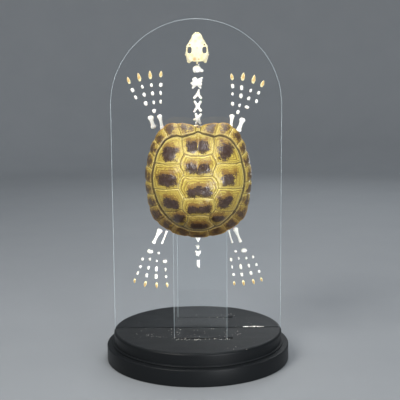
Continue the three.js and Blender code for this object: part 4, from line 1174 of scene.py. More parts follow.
def shell_marks(u, v, numbers):
    """What the shell's outside shows at each place of its chart."""
    out = np.hypot(u, v)
    signed = np.degrees(np.arctan2(u, v))
    degrees = np.abs(signed)
    seam_radius, rim_radius = along(SEAM_RADIUS, degrees), along(RIM_RADIUS, degrees)
    plan = np.stack([u * seam_radius, v * seam_radius], -1)
    sway = np.stack([ripple(plan, 11, numbers), ripple(plan, 11, numbers + 1)], -1) * 0.35
    sway += np.stack([ripple(plan, 3, numbers + 2), ripple(plan, 3, numbers + 3)], -1) * 0.12
    calm = ease(np.abs(out - 1) * 50, 0, 3)[:, None]
    ring, edge, which = read_scutes(plan + sway * calm, big_scutes())
    patch = patches_at(plan + sway * 1.6, PATCHES, WEDGES)
    veil = patches_at(plan + sway * 2 - (0, 3.4), PATCHES, [])

    # The edge scutes lie between the edge seam and the rim
    bounds = np.array([-EDGE_SCUTES[0], *EDGE_SCUTES, 360 - EDGE_SCUTES[-1]])
    swayed = degrees + ripple(plan, 9, numbers + 4) * 0.35
    swayed = np.where(degrees < EDGE_SCUTES[0] + 1, signed, swayed)
    cell = np.clip(np.searchsorted(bounds, swayed) - 1, 0, len(bounds) - 2)
    first, last = bounds[cell], bounds[cell + 1]
    at_tail = cell == len(bounds) - 2
    past = swayed - first
    share = past / np.where(at_tail, 2 * (180 - EDGE_SCUTES[-1]), last - first)
    band_width = np.hypot(rim_radius - seam_radius, along(SEAM_HEIGHT, degrees))
    arc = np.radians(np.where(at_tail, past, np.minimum(past, last - swayed))) * rim_radius
    edge_band = np.minimum(np.abs(arc), (out - 1) * band_width)
    heart_share, heart_out = EDGE_HEART
    before, after = 1 - share / heart_share, (share - heart_share) / (1 - heart_share)
    across = np.where(at_tail, np.abs(share - 0.5) * 2, np.where(share > heart_share, after, before))
    above, below = (heart_out - out) / (heart_out - 1), (out - heart_out) / (2 - heart_out)
    ring_band = np.clip(np.maximum(np.abs(across), np.where(out > heart_out, below, above)), 0, 1)
    # The dark spot of each lies near its outer corner, and the head's and the tail's are their own
    spot_share, spot_out = np.where(at_tail, 0.5, 0.6), np.where(at_tail, 1.75, 1.55)
    spot = np.hypot((share - spot_share) / 0.31, (out - spot_out) / 0.44)
    spot = np.where(cell == 0, np.hypot((share - 0.5) / 0.3, (out - 1.7) / 0.2), spot)
    on_band = out > 1
    tones = np.random.default_rng(numbers).uniform(0, 1, 40)
    return {
        "ring": np.where(on_band, ring_band, ring),
        "edge": np.where(on_band, edge_band, edge),
        "patch": np.where(on_band, (1 - spot) * 0.8, patch),
        "veil": np.where(on_band, (1.25 - spot) * 0.8, veil),
        "tone": tones[np.where(on_band, 13 + cell + 14 * (signed > 0), which)],
        "groove": (out - 1) * np.where(on_band, band_width, seam_radius),
        "band": out,
    }


# Operators


def turned(profile, steps):
    """A solid turned round the upright axis, from [radius, height] that starts and ends on the axis."""
    turns = np.linspace(0, 2 * np.pi, steps, endpoint=False)
    points = [(0, 0, profile[0][1])]
    for radius, height in profile[1:-1]:
        points += [(radius * math.cos(t), radius * math.sin(t), height) for t in turns]
    points.append((0, 0, profile[-1][1]))
    faces = []
    rings = len(profile) - 2
    for k in range(steps):
        after = (k + 1) % steps
        faces.append((0, 1 + after, 1 + k))
        for ring in range(rings - 1):
            a, b = 1 + ring * steps + k, 1 + ring * steps + after
            faces.append((a, b, b + steps, a + steps))
        faces.append((1 + (rings - 1) * steps + k, 1 + (rings - 1) * steps + after, len(points) - 1))
    return points, faces


def rounded(corner, radius, start, end, count=5):
    """Points of a quarter round, by its middle and its first and last angle in degrees."""
    turns = np.radians(np.linspace(start, end, count))
    return [(corner[0] + radius * math.cos(t), corner[1] + radius * math.sin(t)) for t in turns]


class SKELETON_OT_base(bpy.types.Operator):
    """Turns the two painted discs of the base and cuts the slots"""

    bl_idname = "skeleton.base"
    bl_label = "Base"
    bl_options = {"REGISTER", "UNDO"}

    def execute(self, context):
        paint = black_paint()
        radius, foot, top = LOW_DISC[1][0], LOW_DISC[0][2], LOW_DISC[1][2]
        soft, flat = 1.3, 0.4
        profile = [
            (0, foot), (radius - soft - flat, foot), *rounded((radius - soft, foot + soft), soft, -90, 0),
            *rounded((radius - soft, top - soft), soft, 0, 90), (radius - soft - flat, top), (0, top),
        ]
        points, faces = turned(profile, 256)
        seat(mesh_of("base_lower_disc", points, faces, [paint], sharp=40), "black_paint", "lower_disc")

        radius, foot, top = HIGH_DISC[1][0], HIGH_DISC[0][2], HIGH_DISC[1][2]
        bead, soft, waist = 0.9, 2.8, 1.6
        shoulder = radius - 1.2 - soft
        profile = [
            (0, foot), (radius - bead, foot), *rounded((radius - bead, foot + bead), bead, -90, 90),
            (radius - waist, foot + 2 * bead + 0.3), *rounded((shoulder, top - soft), soft, 0, 90, 8),
            (shoulder - flat, top), (0, top),
        ]
        points, faces = turned(profile, 256)
        disc = mesh_of("base_upper_disc", points, faces, [paint], sharp=40)
        cutters = []
        half = SLOT["width"] / 2
        for x, y, length in SLOTS:
            low = (x - length / 2, y - half, top - SLOT["depth"])
            high = (x + length / 2, y + half, top + 2)
            cutters.append(block("slot_cutter", low, high))
        for cutter in cutters:
            cut = disc.modifiers.new("slot", "BOOLEAN")
            cut.object = cutter
            cut.solver = "EXACT"
        plain_mesh(disc)
        disc.data.set_sharp_from_angle(angle=math.radians(40))
        for cutter in cutters:
            bpy.data.objects.remove(cutter)
        seat(disc, "black_paint", "upper_disc")
        return {"FINISHED"}


def block(name, low, high):
    """A box between two corners."""
    corners = [(x, y, z) for x in (low[0], high[0]) for y in (low[1], high[1]) for z in (low[2], high[2])]
    faces = [(0, 1, 3, 2), (4, 6, 7, 5), (0, 4, 5, 1), (2, 3, 7, 6), (0, 2, 6, 4), (1, 5, 7, 3)]
    return mesh_of(name, corners, faces, [])


def wear_second(made, first):
    """The faces from that one on take the second material."""
    polygons = made.data.polygons
    polygons.foreach_set("material_index", (np.arange(len(polygons)) >= first).astype(np.int32))


def sheet_piece(name, outline, middle_y, thickness, chamfer, materials, node):
    """A clear sheet from its outline in x and z, with its corners chamfered."""
    outline = np.array(outline, float)
    before, after = np.roll(outline, 1, 0), np.roll(outline, -1, 0)
    first, second = outline - before, after - outline
    first /= np.linalg.norm(first, axis=1)[:, None]
    second /= np.linalg.norm(second, axis=1)[:, None]
    inward = np.stack([-(first[:, 1] + second[:, 1]), first[:, 0] + second[:, 0]], -1)
    inward /= np.maximum((inward * np.stack([-first[:, 1], first[:, 0]], -1)).sum(1), 1e-6)[:, None]
    small = outline + inward * chamfer
    half = thickness / 2
    levels = [(small, -half), (outline, -half + chamfer), (outline, half - chamfer), (small, half)]
    points = [(x, middle_y + y, z) for ring, y in levels for x, z in ring]
    count = len(outline)
    faces = [list(range(count)), list(range(4 * count - 1, 3 * count - 1, -1))]
    for level in range(3):
        for k in range(count):
            a, b = level * count + k, level * count + (k + 1) % count
            faces.append((b, a, a + count, b + count))
    made = mesh_of(name, points, faces, materials, sharp=20)
    wear_second(made, 2)
    # A clear sheet lets the light through to the bones behind it
    made.visible_shadow = False
    return seat(made, "clear_acrylic", node)


class SKELETON_OT_panels(bpy.types.Operator):
    """Makes the clear panel with a round top and the two clear strips"""

    bl_idname = "skeleton.panels"
    bl_label = "Clear panels"
    bl_options = {"REGISTER", "UNDO"}

    def execute(self, context):
        materials = [clear_sheet(), sheet_edge()]
        chamfer = context.scene.skeleton_stand.chamfer / MM
        half = PANEL[1][0]
        spring = PANEL[1][2] - half
        arc = [(half * math.cos(t), spring + half * math.sin(t)) for t in np.linspace(0, np.pi, 121)]
        outline = [(-half, PANEL[0][2]), (half, PANEL[0][2]), *arc]
        thick = PANEL[1][1] - PANEL[0][1]
        sheet_piece("skeleton_sheet", outline, 0, thick, chamfer, materials, "skeleton_panel")
        for name, (low, high), node in [
            ("shell_sheet", SHELL_STRIP, "shell_strip"),
            ("plastron_sheet", PLASTRON_STRIP, "plastron_strip"),
        ]:
            corners = [(low[0], low[2]), (high[0], low[2]), (high[0], high[2]), (low[0], high[2])]
            middle = (low[1] + high[1]) / 2
            sheet_piece(name, corners, middle, high[1] - low[1], chamfer, materials, node)
        return {"FINISHED"}


def shell_outside(look):
    """The carapace's outer sheet: its points, faces and rim, and the marks on it."""
    uv, faces, rim = disc_grid(SHELL_CELLS[0])
    share = np.hypot(*uv.T)
    knee = 0.8
    out = np.where(share < knee, share / knee, 1 + (share - knee) / (1 - knee))
    u, v = (uv / np.maximum(share, 1e-9)[:, None] * out[:, None]).T
    marks = shell_marks(u, v, 11)
    ring, edge = marks["ring"], marks["edge"]
    fade = 1 - ease(out, 1.9, 2)
    swell = look.swell / MM * (1 - ease(ring, 0.3, 0.95)) * np.where(out > 1, 0.4, 1)
    seam = look.seam / MM * np.exp(-((edge / RELIEF["seam_width"]) ** 2))
    furrow = RELIEF["furrow"] * np.exp(-((marks["groove"] / RELIEF["furrow_width"]) ** 2))
    waves = np.sin(ring * 2 * np.pi * RELIEF["rings"] + marks["tone"] * 6)
    rings = look.ring / MM * waves * ease(ring, 0.3, 0.5)
    rings *= ease(edge, 0.2, 1)
    plan = np.stack([u, v], -1) * CHART_UNIT
    uneven = 0.12 * ripple(plan, 6, 21) + 0.05 * ripple(plan, 2, 22)
    return shell_at(u, v, (swell - seam - furrow + rings + uneven) * fade), faces, rim, marks


def shell_inside():
    """The carapace's bony inner sheet: its points, faces and rim, and the distance to a suture."""
    uv, faces, rim = disc_grid(SHELL_CELLS[1])
    share = np.hypot(*uv.T)
    knee, reach = 0.92, 1.15
    out = np.minimum(share / knee, 1) * reach
    direction = uv / np.maximum(share, 1e-9)[:, None]
    u, v = (direction * out[:, None]).T
    gap = INSIDE["rib_gap"]
    spine = np.exp(-((u / INSIDE["spine_width"]) ** 2)) * (0.8 + 0.2 * np.cos(v * 2 * np.pi / gap))
    to_rib = np.abs(((v - INSIDE["slant"] * np.abs(u)) / gap + 0.5) % 1 - 0.5) * gap
    ribs = np.exp(-((to_rib / INSIDE["rib_width"]) ** 2)) * ease(np.abs(u), 0.03, 0.1)
    ribs *= 1 - ease(np.abs(u), 0.2, 0.5)
    relief = INSIDE["spine"] * spine * (1 - ease(out, 0.85, 1.1)) + INSIDE["rib"] * ribs
    uneven = 0.1 * ripple(np.stack([u, v], -1) * CHART_UNIT, 7, 31)
    inner = shell_at(u, v, -(SHELL["wall"] + relief + uneven))

    # Its edge runs just inside the rim of the outer sheet
    lip = shell_at(*(direction * 2).T, np.zeros(len(uv)))
    toward = np.stack([SHELL["x"] - lip[:, 0], np.zeros(len(lip)), SHELL["z"] - lip[:, 2]], -1)
    lip += toward / np.maximum(np.linalg.norm(toward, axis=1), 1e-9)[:, None] * SHELL["rim_wall"]
    blend = ease(share, knee, 1)[:, None]
    suture = np.minimum(np.abs(np.abs(u) - 0.11), to_rib) * CHART_UNIT
    return inner * (1 - blend) + lip * blend, faces, rim, suture


class SKELETON_OT_carapace(bpy.types.Operator):
    """Models the domed shell, with its scutes, growth rings and bony inside"""

    bl_idname = "skeleton.carapace"
    bl_label = "Carapace"
    bl_options = {"REGISTER", "UNDO"}

    def execute(self, context):
        outer, outer_faces, outer_rim, marks = shell_outside(context.scene.skeleton_shell)
        inner, inner_faces, inner_rim, suture = shell_inside()
        points, faces = closed_shell(outer, inner, outer_faces, inner_faces, outer_rim, inner_rim)
        plain = {"ring": 0.5, "patch": -2, "veil": -2, "tone": 0.5, "groove": 9, "band": 0, "edge": suture}
        marks = {key: np.append(marks[key], np.zeros(len(inner)) + plain[key]) for key in marks}
        made = mesh_of("carapace_shell", points, faces, [shell_horn(), shell_bone()], marks, sharp=55)
        wear_second(made, len(outer_faces))
        seat(made, "shell_horn", "carapace")
        return {"FINISHED"}


def plastron_reach(outlines, around):
    """How far the plastron reaches from its middle, in each of the directions around."""
    rays = np.stack([np.sin(around), np.cos(around)], -1)
    farthest = np.zeros(len(around))
    for outline in outlines:
        for q0, q1 in zip(outline, np.roll(outline, -1, 0)):
            run = q1 - q0
            turn = rays[:, 0] * run[1] - rays[:, 1] * run[0]
            safe = np.where(np.abs(turn) < 1e-9, 1e-9, turn)
            reach = (q0[0] * run[1] - q0[1] * run[0]) / safe
            share = (q0[0] * rays[:, 1] - q0[1] * rays[:, 0]) / safe
            hit = (share >= -0.001) & (share <= 1.001) & (reach > 0)
            farthest = np.where(hit, np.maximum(farthest, reach), farthest)
    kernel = np.hanning(9)[1:-1]
    count = len(around)
    return np.convolve(np.tile(farthest, 3), kernel / kernel.sum(), "same")[count:2 * count]


class SKELETON_OT_plastron(bpy.types.Operator):
    """Models the belly plate, with its scutes and its bridges"""

    bl_idname = "skeleton.plastron"
    bl_label = "Plastron"
    bl_options = {"REGISTER", "UNDO"}

    def execute(self, context):
        scutes = []
        for half, heart in zip(PLASTRON_SCUTES, PLASTRON_HEARTS):
            scutes.append((np.array(half), np.array(heart, float)))
            scutes.append((np.array(mirror_of(half)), np.array(heart, float) * (-1, 1)))
        around = np.linspace(-np.pi, np.pi, 721)[:-1]
        farthest = plastron_reach([outline for outline, _ in scutes], around)

        def plan_of(uv):
            share = np.hypot(*uv.T)
            turn = np.arctan2(uv[:, 0], uv[:, 1])
            reach = np.interp(turn, around, farthest, period=2 * np.pi)
            return uv / np.maximum(share, 1e-9)[:, None] * (share * reach)[:, None], share

        def placed(plan, lift):
            past = np.maximum(np.abs(plan[:, 0]) - PLASTRON["flat"], 0)
            y = PLASTRON_BACK - PLASTRON["curl"] * past**2 + lift
            return np.stack([PLASTRON["x"] + plan[:, 0], y, PLASTRON["z"] + plan[:, 1]], -1)

        uv, outer_faces, outer_rim = disc_grid(PLASTRON_CELLS[0])
        plan, share = plan_of(uv)
        sway = np.stack([ripple(plan, 12, 51), ripple(plan, 12, 52)], -1) * 0.5 * (1 - share**4)[:, None]
        ring, edge, which = read_scutes(plan + sway, scutes)
        tones = np.random.default_rng(5).uniform(0, 1, len(scutes))
        patch = np.full(len(plan), -1.0)
        for number, (_, heart) in enumerate(scutes):
            here = which == number
            reach = np.hypot(*((plan[here] - heart) / PLASTRON_PATCH).T)
            patch[here] = 0.75 - reach
        seam = PLASTRON["seam"] * np.exp(-((edge / 0.5) ** 2)) * (1 - ease(share, 0.97, 1))
        rings = 0.09 * np.sin(ring * 2 * np.pi * 8) * ease(ring, 0.2, 0.4) * ease(edge, 0.2, 1)
        round_off = PLASTRON["wall"] * 0.42 * ease(share, 0.93, 1.0) ** 2
        lift = PLASTRON["wall"] + 0.2 * (1 - ring) - seam + rings - round_off + 0.1 * ripple(plan, 7, 53)
        outer = placed(plan, lift)
        inner_uv, inner_faces, inner_rim = disc_grid(PLASTRON_CELLS[1])
        inner_plan, inner_share = plan_of(inner_uv)
        inner = placed(inner_plan, 0.8 * ease(inner_share, 0.9, 1.0))
        points, faces = closed_shell(outer, inner, outer_faces, inner_faces, outer_rim, inner_rim)
        faces = [face[::-1] for face in faces]
        suture = np.minimum(np.abs(inner_plan[:, 0]), np.abs(np.abs(inner_plan[:, 1]) - 17))
        outside = {"ring": ring, "edge": edge, "patch": patch, "veil": patch + 0.2, "tone": tones[which]}
        plain = {"ring": 0.5, "edge": suture, "patch": -2, "veil": -2, "tone": 0.5}
        marks = {key: np.append(outside[key], np.zeros(len(inner)) + plain[key]) for key in outside}
        made = mesh_of("plastron_plate", points, faces, [plastron_horn(), shell_bone()], marks, sharp=55)
        wear_second(made, len(outer_faces))
        seat(made, "plastron_horn", "plastron")
        return {"FINISHED"}


def skull_field(p):
    """The skull's field, from its middle line, with y out of the panel below 0."""
    across = np.abs(p[..., 0])
    height = -p[..., 1] - SKULL_LIFT
    up = p[..., 2]
    rings = np.array(SKULL_RINGS)
    at = np.clip(up, rings[0, 0], rings[-1, 0])
    width = along([(z, w) for z, w, _, _ in SKULL_RINGS], at)
    tall = along([(z, h) for z, _, h, _ in SKULL_RINGS], at)
    middle = along([(z, c) for z, _, _, c in SKULL_RINGS], at)
    reach = (across / width) ** SKULL_POWER + (np.abs(height - middle) / tall) ** SKULL_POWER
    body = (reach ** (1 / SKULL_POWER) - 1) * np.minimum(width, tall)
    body = np.maximum(body, np.maximum(rings[0, 0] - up, up - rings[-1, 0]))
    q = np.stack([across, height, up], -1)
    body = np.maximum(body, SKULL_REAR - up)
    body = melt(1.2, body, ball(q, *NOSE_END))
    body = melt(1.0, body, *[rod(q, *ridge) for ridge in SKULL_RIDGES])
    eye_x = (across - EYES["out"]) / EYES["half_width"]
    eye_z = (up - EYES["z"]) / EYES["half_height"]
    eye = ((np.abs(eye_x) ** 3 + np.abs(eye_z) ** 3) ** (1 / 3) - 1) * EYES["half_width"]
    body = carve(body, eye, EYES["lip"])
    for middle, sizes, lip in SKULL_HOLLOWS:
        body = carve(body, ball(q, middle, sizes), lip)
    return melt(0.5, body, ball(q, *NECK_KNOB))


def jaw_field(p):
    """The lower jaw's field: a bow of rods, the same on both sides."""
    q = np.stack([np.abs(p[..., 0]), p[..., 1] + 1.4, p[..., 2]], -1)
    parts = [
        rod(q, (x0, 0, z0), (x1, 0, z1), w0, w1)
        for (x0, z0, w0), (x1, z1, w1) in zip(JAW_SIDE, JAW_SIDE[1:])
    ]
    return melt(0.8, *parts)


class SKELETON_OT_skull(bpy.types.Operator):
    """Models the skull and the lower jaw under it"""

    bl_idname = "skeleton.skull"
    bl_label = "Skull"
    bl_options = {"REGISTER", "UNDO"}

    def execute(self, context):
        look = context.scene.skeleton_bones
        material = skull_bone()

        def uneven(p):
            return skull_field(p) + look.pits / MM * ripple(p, 3, 71) * 0.8

        points, faces = skin(uneven, (-14, -18, 320.5), (14, -SKULL_LIFT + 1, 357), SKULL_STEP)
        points += np.array([SKULL_X, BONES_BACK, 0])
        seat(mesh_of("skull_bone", points, faces, [material], sharp=180), "skull_bone", "skull")
        points, faces = skin(jaw_field, (-14, -4.5, 324), (14, 1.5, 355), 0.3)
        points += np.array([SKULL_X, BONES_BACK - points[:, 1].max(), 0])
        seat(mesh_of("jaw_bone", points, faces, [material], sharp=180), "skull_bone", "lower_jaw")
        return {"FINISHED"}


def vertebra_field(body, arms, hollow):
    """A vertebra's field: an oval body with arms, a raised keel and a hollow on each side of it."""
    depth = min(min(body) * 0.9, 3)

    def field(p):
        parts = [ball(p, (0, -depth, 0), (body[0], depth, body[1]))]
        for x, z, radius in arms:
            root = min(body) * 0.7 if radius > 0.7 else radius * 1.4
            parts.append(rod(p, (x * 0.15, -depth, z * 0.15), (x, -radius - 0.2, z), root, radius))
        keel = rod(p, (0, -1.75 * depth, body[1] * 0.7), (0, -1.6 * depth, -body[1] * 0.7), 0.5, 0.6)
        joined = melt(0.8, *parts, keel)
        if hollow:
            return carve(joined, ball(p, (0.7, -2 * depth, -0.4), (1.5, 1.6, 1.4)), 0.4)
        for side in (-1, 1):
            spot = ball(p, (side * body[0] * 0.62, -2 * depth, 0), (0.5, 0.8, body[1] * 0.35))
            joined = carve(joined, spot, 0.4)
        return joined

    return field


class SKELETON_OT_backbone(bpy.types.Operator):
    """Models the vertebrae of the neck and the tail"""

    bl_idname = "skeleton.backbone"
    bl_label = "Backbone"
    bl_options = {"REGISTER", "UNDO"}

    def execute(self, context):
        material = white_bone()
        for row, vertebrae in (("neck_vertebra", NECK), ("tail_vertebra", TAIL)):
            for number, ((x, z), body, arms) in enumerate(vertebrae, 1):
                field = vertebra_field(body, arms, row == "neck_vertebra" and number == 1)
                reach = max(max(abs(ax) + r, abs(az) + r) for ax, az, r in arms) + 1
                low, high = (x - reach, -2.4 * min(body) - 1, z - reach), (x + reach, 2, z + reach)
                field = shifted(field, np.array([x, 0, z]))
                node = f"{row}_{number}"
                bone_piece(f"{node}_bone", field, low, high, material, node, step=0.25)
        return {"FINISHED"}


class SKELETON_OT_limbs(bpy.types.Operator):
    """Models the limb bones, the shoulder girdles and the pelvis"""

    bl_idname = "skeleton.limbs"
    bl_label = "Limb bones"
    bl_options = {"REGISTER", "UNDO"}

    def execute(self, context):
        material = white_bone()
        for name, (depth, line) in LIMBS.items():
            field, low, high = limb_field(line, depth)
            bone_piece(f"{name}_bone", field, low, high, material, name)
        for side, name in ((-1, "left_shoulder_girdle"), (1, "right_shoulder_girdle")):
            lines = [[(side * x, z, w) for x, z, w in line] for line in GIRDLE["lines"]]
            place = np.array([SHELL["x"] + side * GIRDLE["out"], 0, GIRDLE["z"]])
            field = shifted(flat_bone_field(lines, GIRDLE["depth"]), place)
            low, high = place + (-15, -7, -23), place + (15, 2, 24)
            bone_piece(f"{name}_bone", field, low, high, material, name, step=0.4)
        place = np.array([PELVIS["x"], 0, PELVIS["z"]])
        field = shifted(flat_bone_field(PELVIS["lines"], PELVIS["depth"], mirror=True), place)
        low, high = place + (-19, -8, -16), place + (19, 2, 25)
        bone_piece("pelvis_bone", field, low, high, material, "pelvis", step=0.4)
        return {"FINISHED"}


def tree_of(name, inputs):
    """A Geometry Nodes tree with named inputs, each a (socket type, name). Returns its maker and inputs."""
    tree = bpy.data.node_groups.new(name, "GeometryNodeTree")
    tree.interface.new_socket("Geometry", in_out="INPUT", socket_type="NodeSocketGeometry")
    for kind, title in inputs:
        tree.interface.new_socket(title, in_out="INPUT", socket_type=kind)
    tree.interface.new_socket("Geometry", in_out="OUTPUT", socket_type="NodeSocketGeometry")
    maker = Maker(tree)
    group = tree.nodes.new("NodeGroupInput")
    return maker, {output.name: Socket(maker, output) for output in group.outputs if output.name}


def end_tree(maker, geometry, finish):
    """Ends a tree: instances realized, one material."""
    real = maker.add("GeometryNodeRealizeInstances", None, {"Geometry": geometry})
    painted = maker.add("GeometryNodeSetMaterial", None, {"Geometry": real, "Material": finish})
    maker.add("NodeGroupOutput", None, {0: painted})
    return maker.tree


def grown(name, tree, source, values, sharp=180):
    """The plain mesh that a tree makes on a source mesh, with its inputs set."""
    made = bpy.data.objects.new(name, source)
    bpy.context.scene.collection.objects.link(made)
    modifier = made.modifiers.new("grow", "NODES")
    modifier.node_group = tree
    for item in tree.interface.items_tree:
        if item.item_type == "SOCKET" and item.in_out == "INPUT" and item.name in values:
            modifier[item.identifier] = values[item.name]
    plain_mesh(made)
    made.data.shade_smooth()
    made.data.set_sharp_from_angle(angle=math.radians(sharp))
    return made


def point_mesh(name, points, marks):
    """Loose points in millimetres, each with its marks."""
    mesh = bpy.data.meshes.new(name)
    mesh.from_pydata((np.array(points, float) * MM).tolist(), [], [])
    write_marks(mesh, marks)
    return mesh


def toe_tree():
    """Sets one small bone, waisted and knobbed, on each point of the source."""
    m, given = tree_of("toe_bones", [("NodeSocketFloat", "Waist"), ("NodeSocketMaterial", "Finish")])
    drum = m.add("GeometryNodeMeshUVSphere", None, {"Segments": 10, "Rings": 7, "Radius": 1.0})
    place = m.add("GeometryNodeInputPosition")
    x, y, z = m.split(place)
    waist = 1 - given["Waist"] * (1 - (z / 0.62) ** 2).higher(0.0)
    wide = m.add("ShaderNodeCombineXYZ", None, {0: x * waist, 1: y * waist, 2: z})
    shaped = m.add("GeometryNodeSetPosition", None, {"Geometry": drum, "Position": wide})
    length, width, turn = [
        m.add("GeometryNodeInputNamedAttribute", {"data_type": "FLOAT"}, {"Name": key})
        for key in ("length", "width", "turn")
    ]
    scale = m.add("ShaderNodeCombineXYZ", None, {0: width * 0.5, 1: width * 0.42, 2: length * 0.5})
    tilt = m.add("ShaderNodeCombineXYZ", None, {0: 0.0, 1: turn, 2: 0.0})
    set_down = m.add(
        "GeometryNodeInstanceOnPoints", None,
        {"Points": given["Geometry"], "Instance": shaped, "Rotation": tilt, "Scale": scale},
    )
    return end_tree(m, set_down, given["Finish"])


def claw_tree():
    """A tapering claw that points up, from its root at the bottom."""
    sizes = [("NodeSocketFloat", title) for title in ("Length", "Width", "Depth", "Hook")]
    m, given = tree_of("claw", [*sizes, ("NodeSocketMaterial", "Finish")])
    low = m.add("ShaderNodeCombineXYZ", None, {2: given["Length"] * -0.5})
    high = m.add("ShaderNodeCombineXYZ", None, {2: given["Length"] * 0.5})
    line = m.add("GeometryNodeCurvePrimitiveLine", None, {"Start": low, "End": high})
    line = m.add("GeometryNodeResampleCurve", None, {"Curve": line, "Count": 25})
    t = m.add("GeometryNodeSplineParameter", None, None, "Factor")
    named = m.add(
        "GeometryNodeStoreNamedAttribute", {"data_type": "FLOAT", "domain": "POINT"},
        {"Geometry": line, "Name": "along", "Value": t},
    )
    root = (t * 12).lower(1.0) ** 0.5 * (0.62 + 0.38 * t.step(0.0, 0.4))
    taper = 1 - 0.84 * t**2.8
    tip = (1 - t**12).higher(0.004) ** 0.5
    girth = (root * taper * tip).higher(0.03) * given["Width"] * 0.5
    ring = m.add("GeometryNodeCurvePrimitiveCircle", None, {"Resolution": 18, "Radius": 1.0})
    tube = m.add(
        "GeometryNodeCurveToMesh", None,
        {"Curve": named, "Profile Curve": ring, "Fill Caps": True, "Scale": girth},
    )
    place = m.add("GeometryNodeInputPosition")
    x, y, z = m.split(place)
    share = z / given["Length"] + 0.5
    keel = 1 - 0.25 * (x.size() / given["Width"] * 2).lower(1.0)
    bent = y * (given["Depth"] / given["Width"]) * keel + given["Hook"] * share.higher(0.0) ** 2
    moved = m.add("ShaderNodeCombineXYZ", None, {0: x, 1: bent, 2: z})
    shaped = m.add("GeometryNodeSetPosition", None, {"Geometry": tube, "Position": moved})
    return end_tree(m, shaped, given["Finish"])


def root_bone_field(middle, sizes, degrees, notched):
    """A wrist or ankle bone's field: an uneven oval, turned in the panel's plane."""
    cos, sin = math.cos(math.radians(degrees)), math.sin(math.radians(degrees))

    def field(p):
        x, y, z = np.moveaxis(p - np.array(middle), -1, 0)
        q = np.stack([x * cos - z * sin, y, x * sin + z * cos], -1)
        body = ball(q, (0, 0, 0), sizes) + 0.16 * ripple(q, 3.5, int(sizes[0] * 10))
        if notched:
            body = carve(body, ball(q, (0.4, 0, sizes[2] * 1.1), (1.3, 4, 1.5)), 0.6)
        return body

    return field


class SKELETON_OT_feet(bpy.types.Operator):
    """Sets out the toe bones and the bones of the wrists and ankles"""

    bl_idname = "skeleton.feet"
    bl_label = "Feet"
    bl_options = {"REGISTER", "UNDO"}

    def execute(self, context):
        material = white_bone()
        tree = toe_tree()
        for limb, toes in TOES.items():
            points, lengths, widths, turns = [], [], [], []
            for number, toe in enumerate(toes):
                claw = CLAWS[limb][number]
                steps = [(claw[0], claw[1]), *[(x, z) for x, z, _, _ in toe]]
                for place, (x, z, length, width) in enumerate(toe):
                    run_x, run_z = steps[place][0] - x, steps[place][1] - z
                    points.append((x, BONES_BACK - 0.42 * width * 1.15 - 0.2, z))
                    lengths.append(length * 1.1 * MM)
                    widths.append(width * 1.15 * MM)
                    turns.append(math.atan2(run_x, run_z))
            name = f"{limb}_toe_bones"
            source = point_mesh(name, points, {"length": lengths, "width": widths, "turn": turns})
            made = grown(name, tree, source, {"Waist": 0.16, "Finish": material})
            numbers = sum(map(ord, limb))
            co = np.array([vertex.co for vertex in made.data.vertices]) / MM
            co += np.stack([ripple(co, 2.6, numbers + k) for k in range(3)], -1) * 0.3
            co[:, 1] = np.minimum(co[:, 1], BONES_BACK)
            made.data.vertices.foreach_set("co", (co * MM).astype(np.float32).ravel())
            seat(made, "bone")
        for name, (x, z, half_x, half_z, degrees) in ROOT_BONES.items():
            depth = min(half_x, half_z) * 0.9
            sizes = (half_x, depth, half_z)
            field = root_bone_field((x, -depth, z), sizes, degrees, name == "left_ankle_bone_1")
            reach = max(half_x, half_z) + 1
            low, high = (x - reach, -2 * depth - 1, z - reach), (x + reach, 1, z + reach)
            bone_piece(f"{name}_piece", field, low, high, material, name, step=0.22)
        return {"FINISHED"}


class SKELETON_OT_claws(bpy.types.Operator):
    """Grows the claws"""

    bl_idname = "skeleton.claws"
    bl_label = "Claws"
    bl_options = {"REGISTER", "UNDO"}

    def execute(self, context):
        material = claw_horn()
        tree = claw_tree()
        for limb, claws in CLAWS.items():
            for number, (x, z, length, width, degrees) in enumerate(claws, 1):
                name = f"{limb}_claw_{number}"
                source = bpy.data.meshes.new(name)
                values = {
                    "Length": length * MM, "Width": width * MM, "Depth": width * 0.86 * MM,
                    "Hook": 0.05 * length * MM, "Finish": material,
                }
                made = grown(f"{name}_horn", tree, source, values)
                turn = Matrix.Rotation(math.radians(degrees), 4, "Y")
                made.data.transform(turn)
                back = max(vertex.co.y for vertex in made.data.vertices)
                made.data.transform(Matrix.Translation((x * MM, BONES_BACK * MM - back, z * MM)))
                seat(made, "claw_horn", name)
        return {"FINISHED"}


def fleck_tree():
    """Scatters small flat flecks over the source's faces."""
    inputs = [("NodeSocketFloat", "Density"), ("NodeSocketFloat", "Size"), ("NodeSocketInt", "Seed")]
    m, given = tree_of("flecks", [*inputs, ("NodeSocketMaterial", "Finish")])

    def any_between(low, high, offset):
        settings = {"data_type": "FLOAT_VECTOR"}
        return m.add("FunctionNodeRandomValue", settings, {0: low, 1: high, "Seed": given["Seed"] + offset})

    fleck = m.add("GeometryNodeMeshIcoSphere", None, {"Radius": 1.0, "Subdivisions": 1})
    spots = m.add(
        "GeometryNodeDistributePointsOnFaces", {"distribute_method": "RANDOM"},
        {"Mesh": given["Geometry"], "Density": given["Density"], "Seed": given["Seed"]},
    )
    turn = any_between((-0.3, -0.3, 0.0), (0.3, 0.3, 6.28), 3)
    shape = any_between((0.25, 0.25, 0.2), (1.0, 0.7, 0.35), 5)
    size = m.add("ShaderNodeVectorMath", {"operation": "SCALE"}, {0: shape, "Scale": given["Size"]})
    placed = m.add(
        "GeometryNodeInstanceOnPoints", None,
        {"Points": spots, "Instance": fleck, "Rotation": turn, "Scale": size},
    )
    return end_tree(m, placed, given["Finish"])


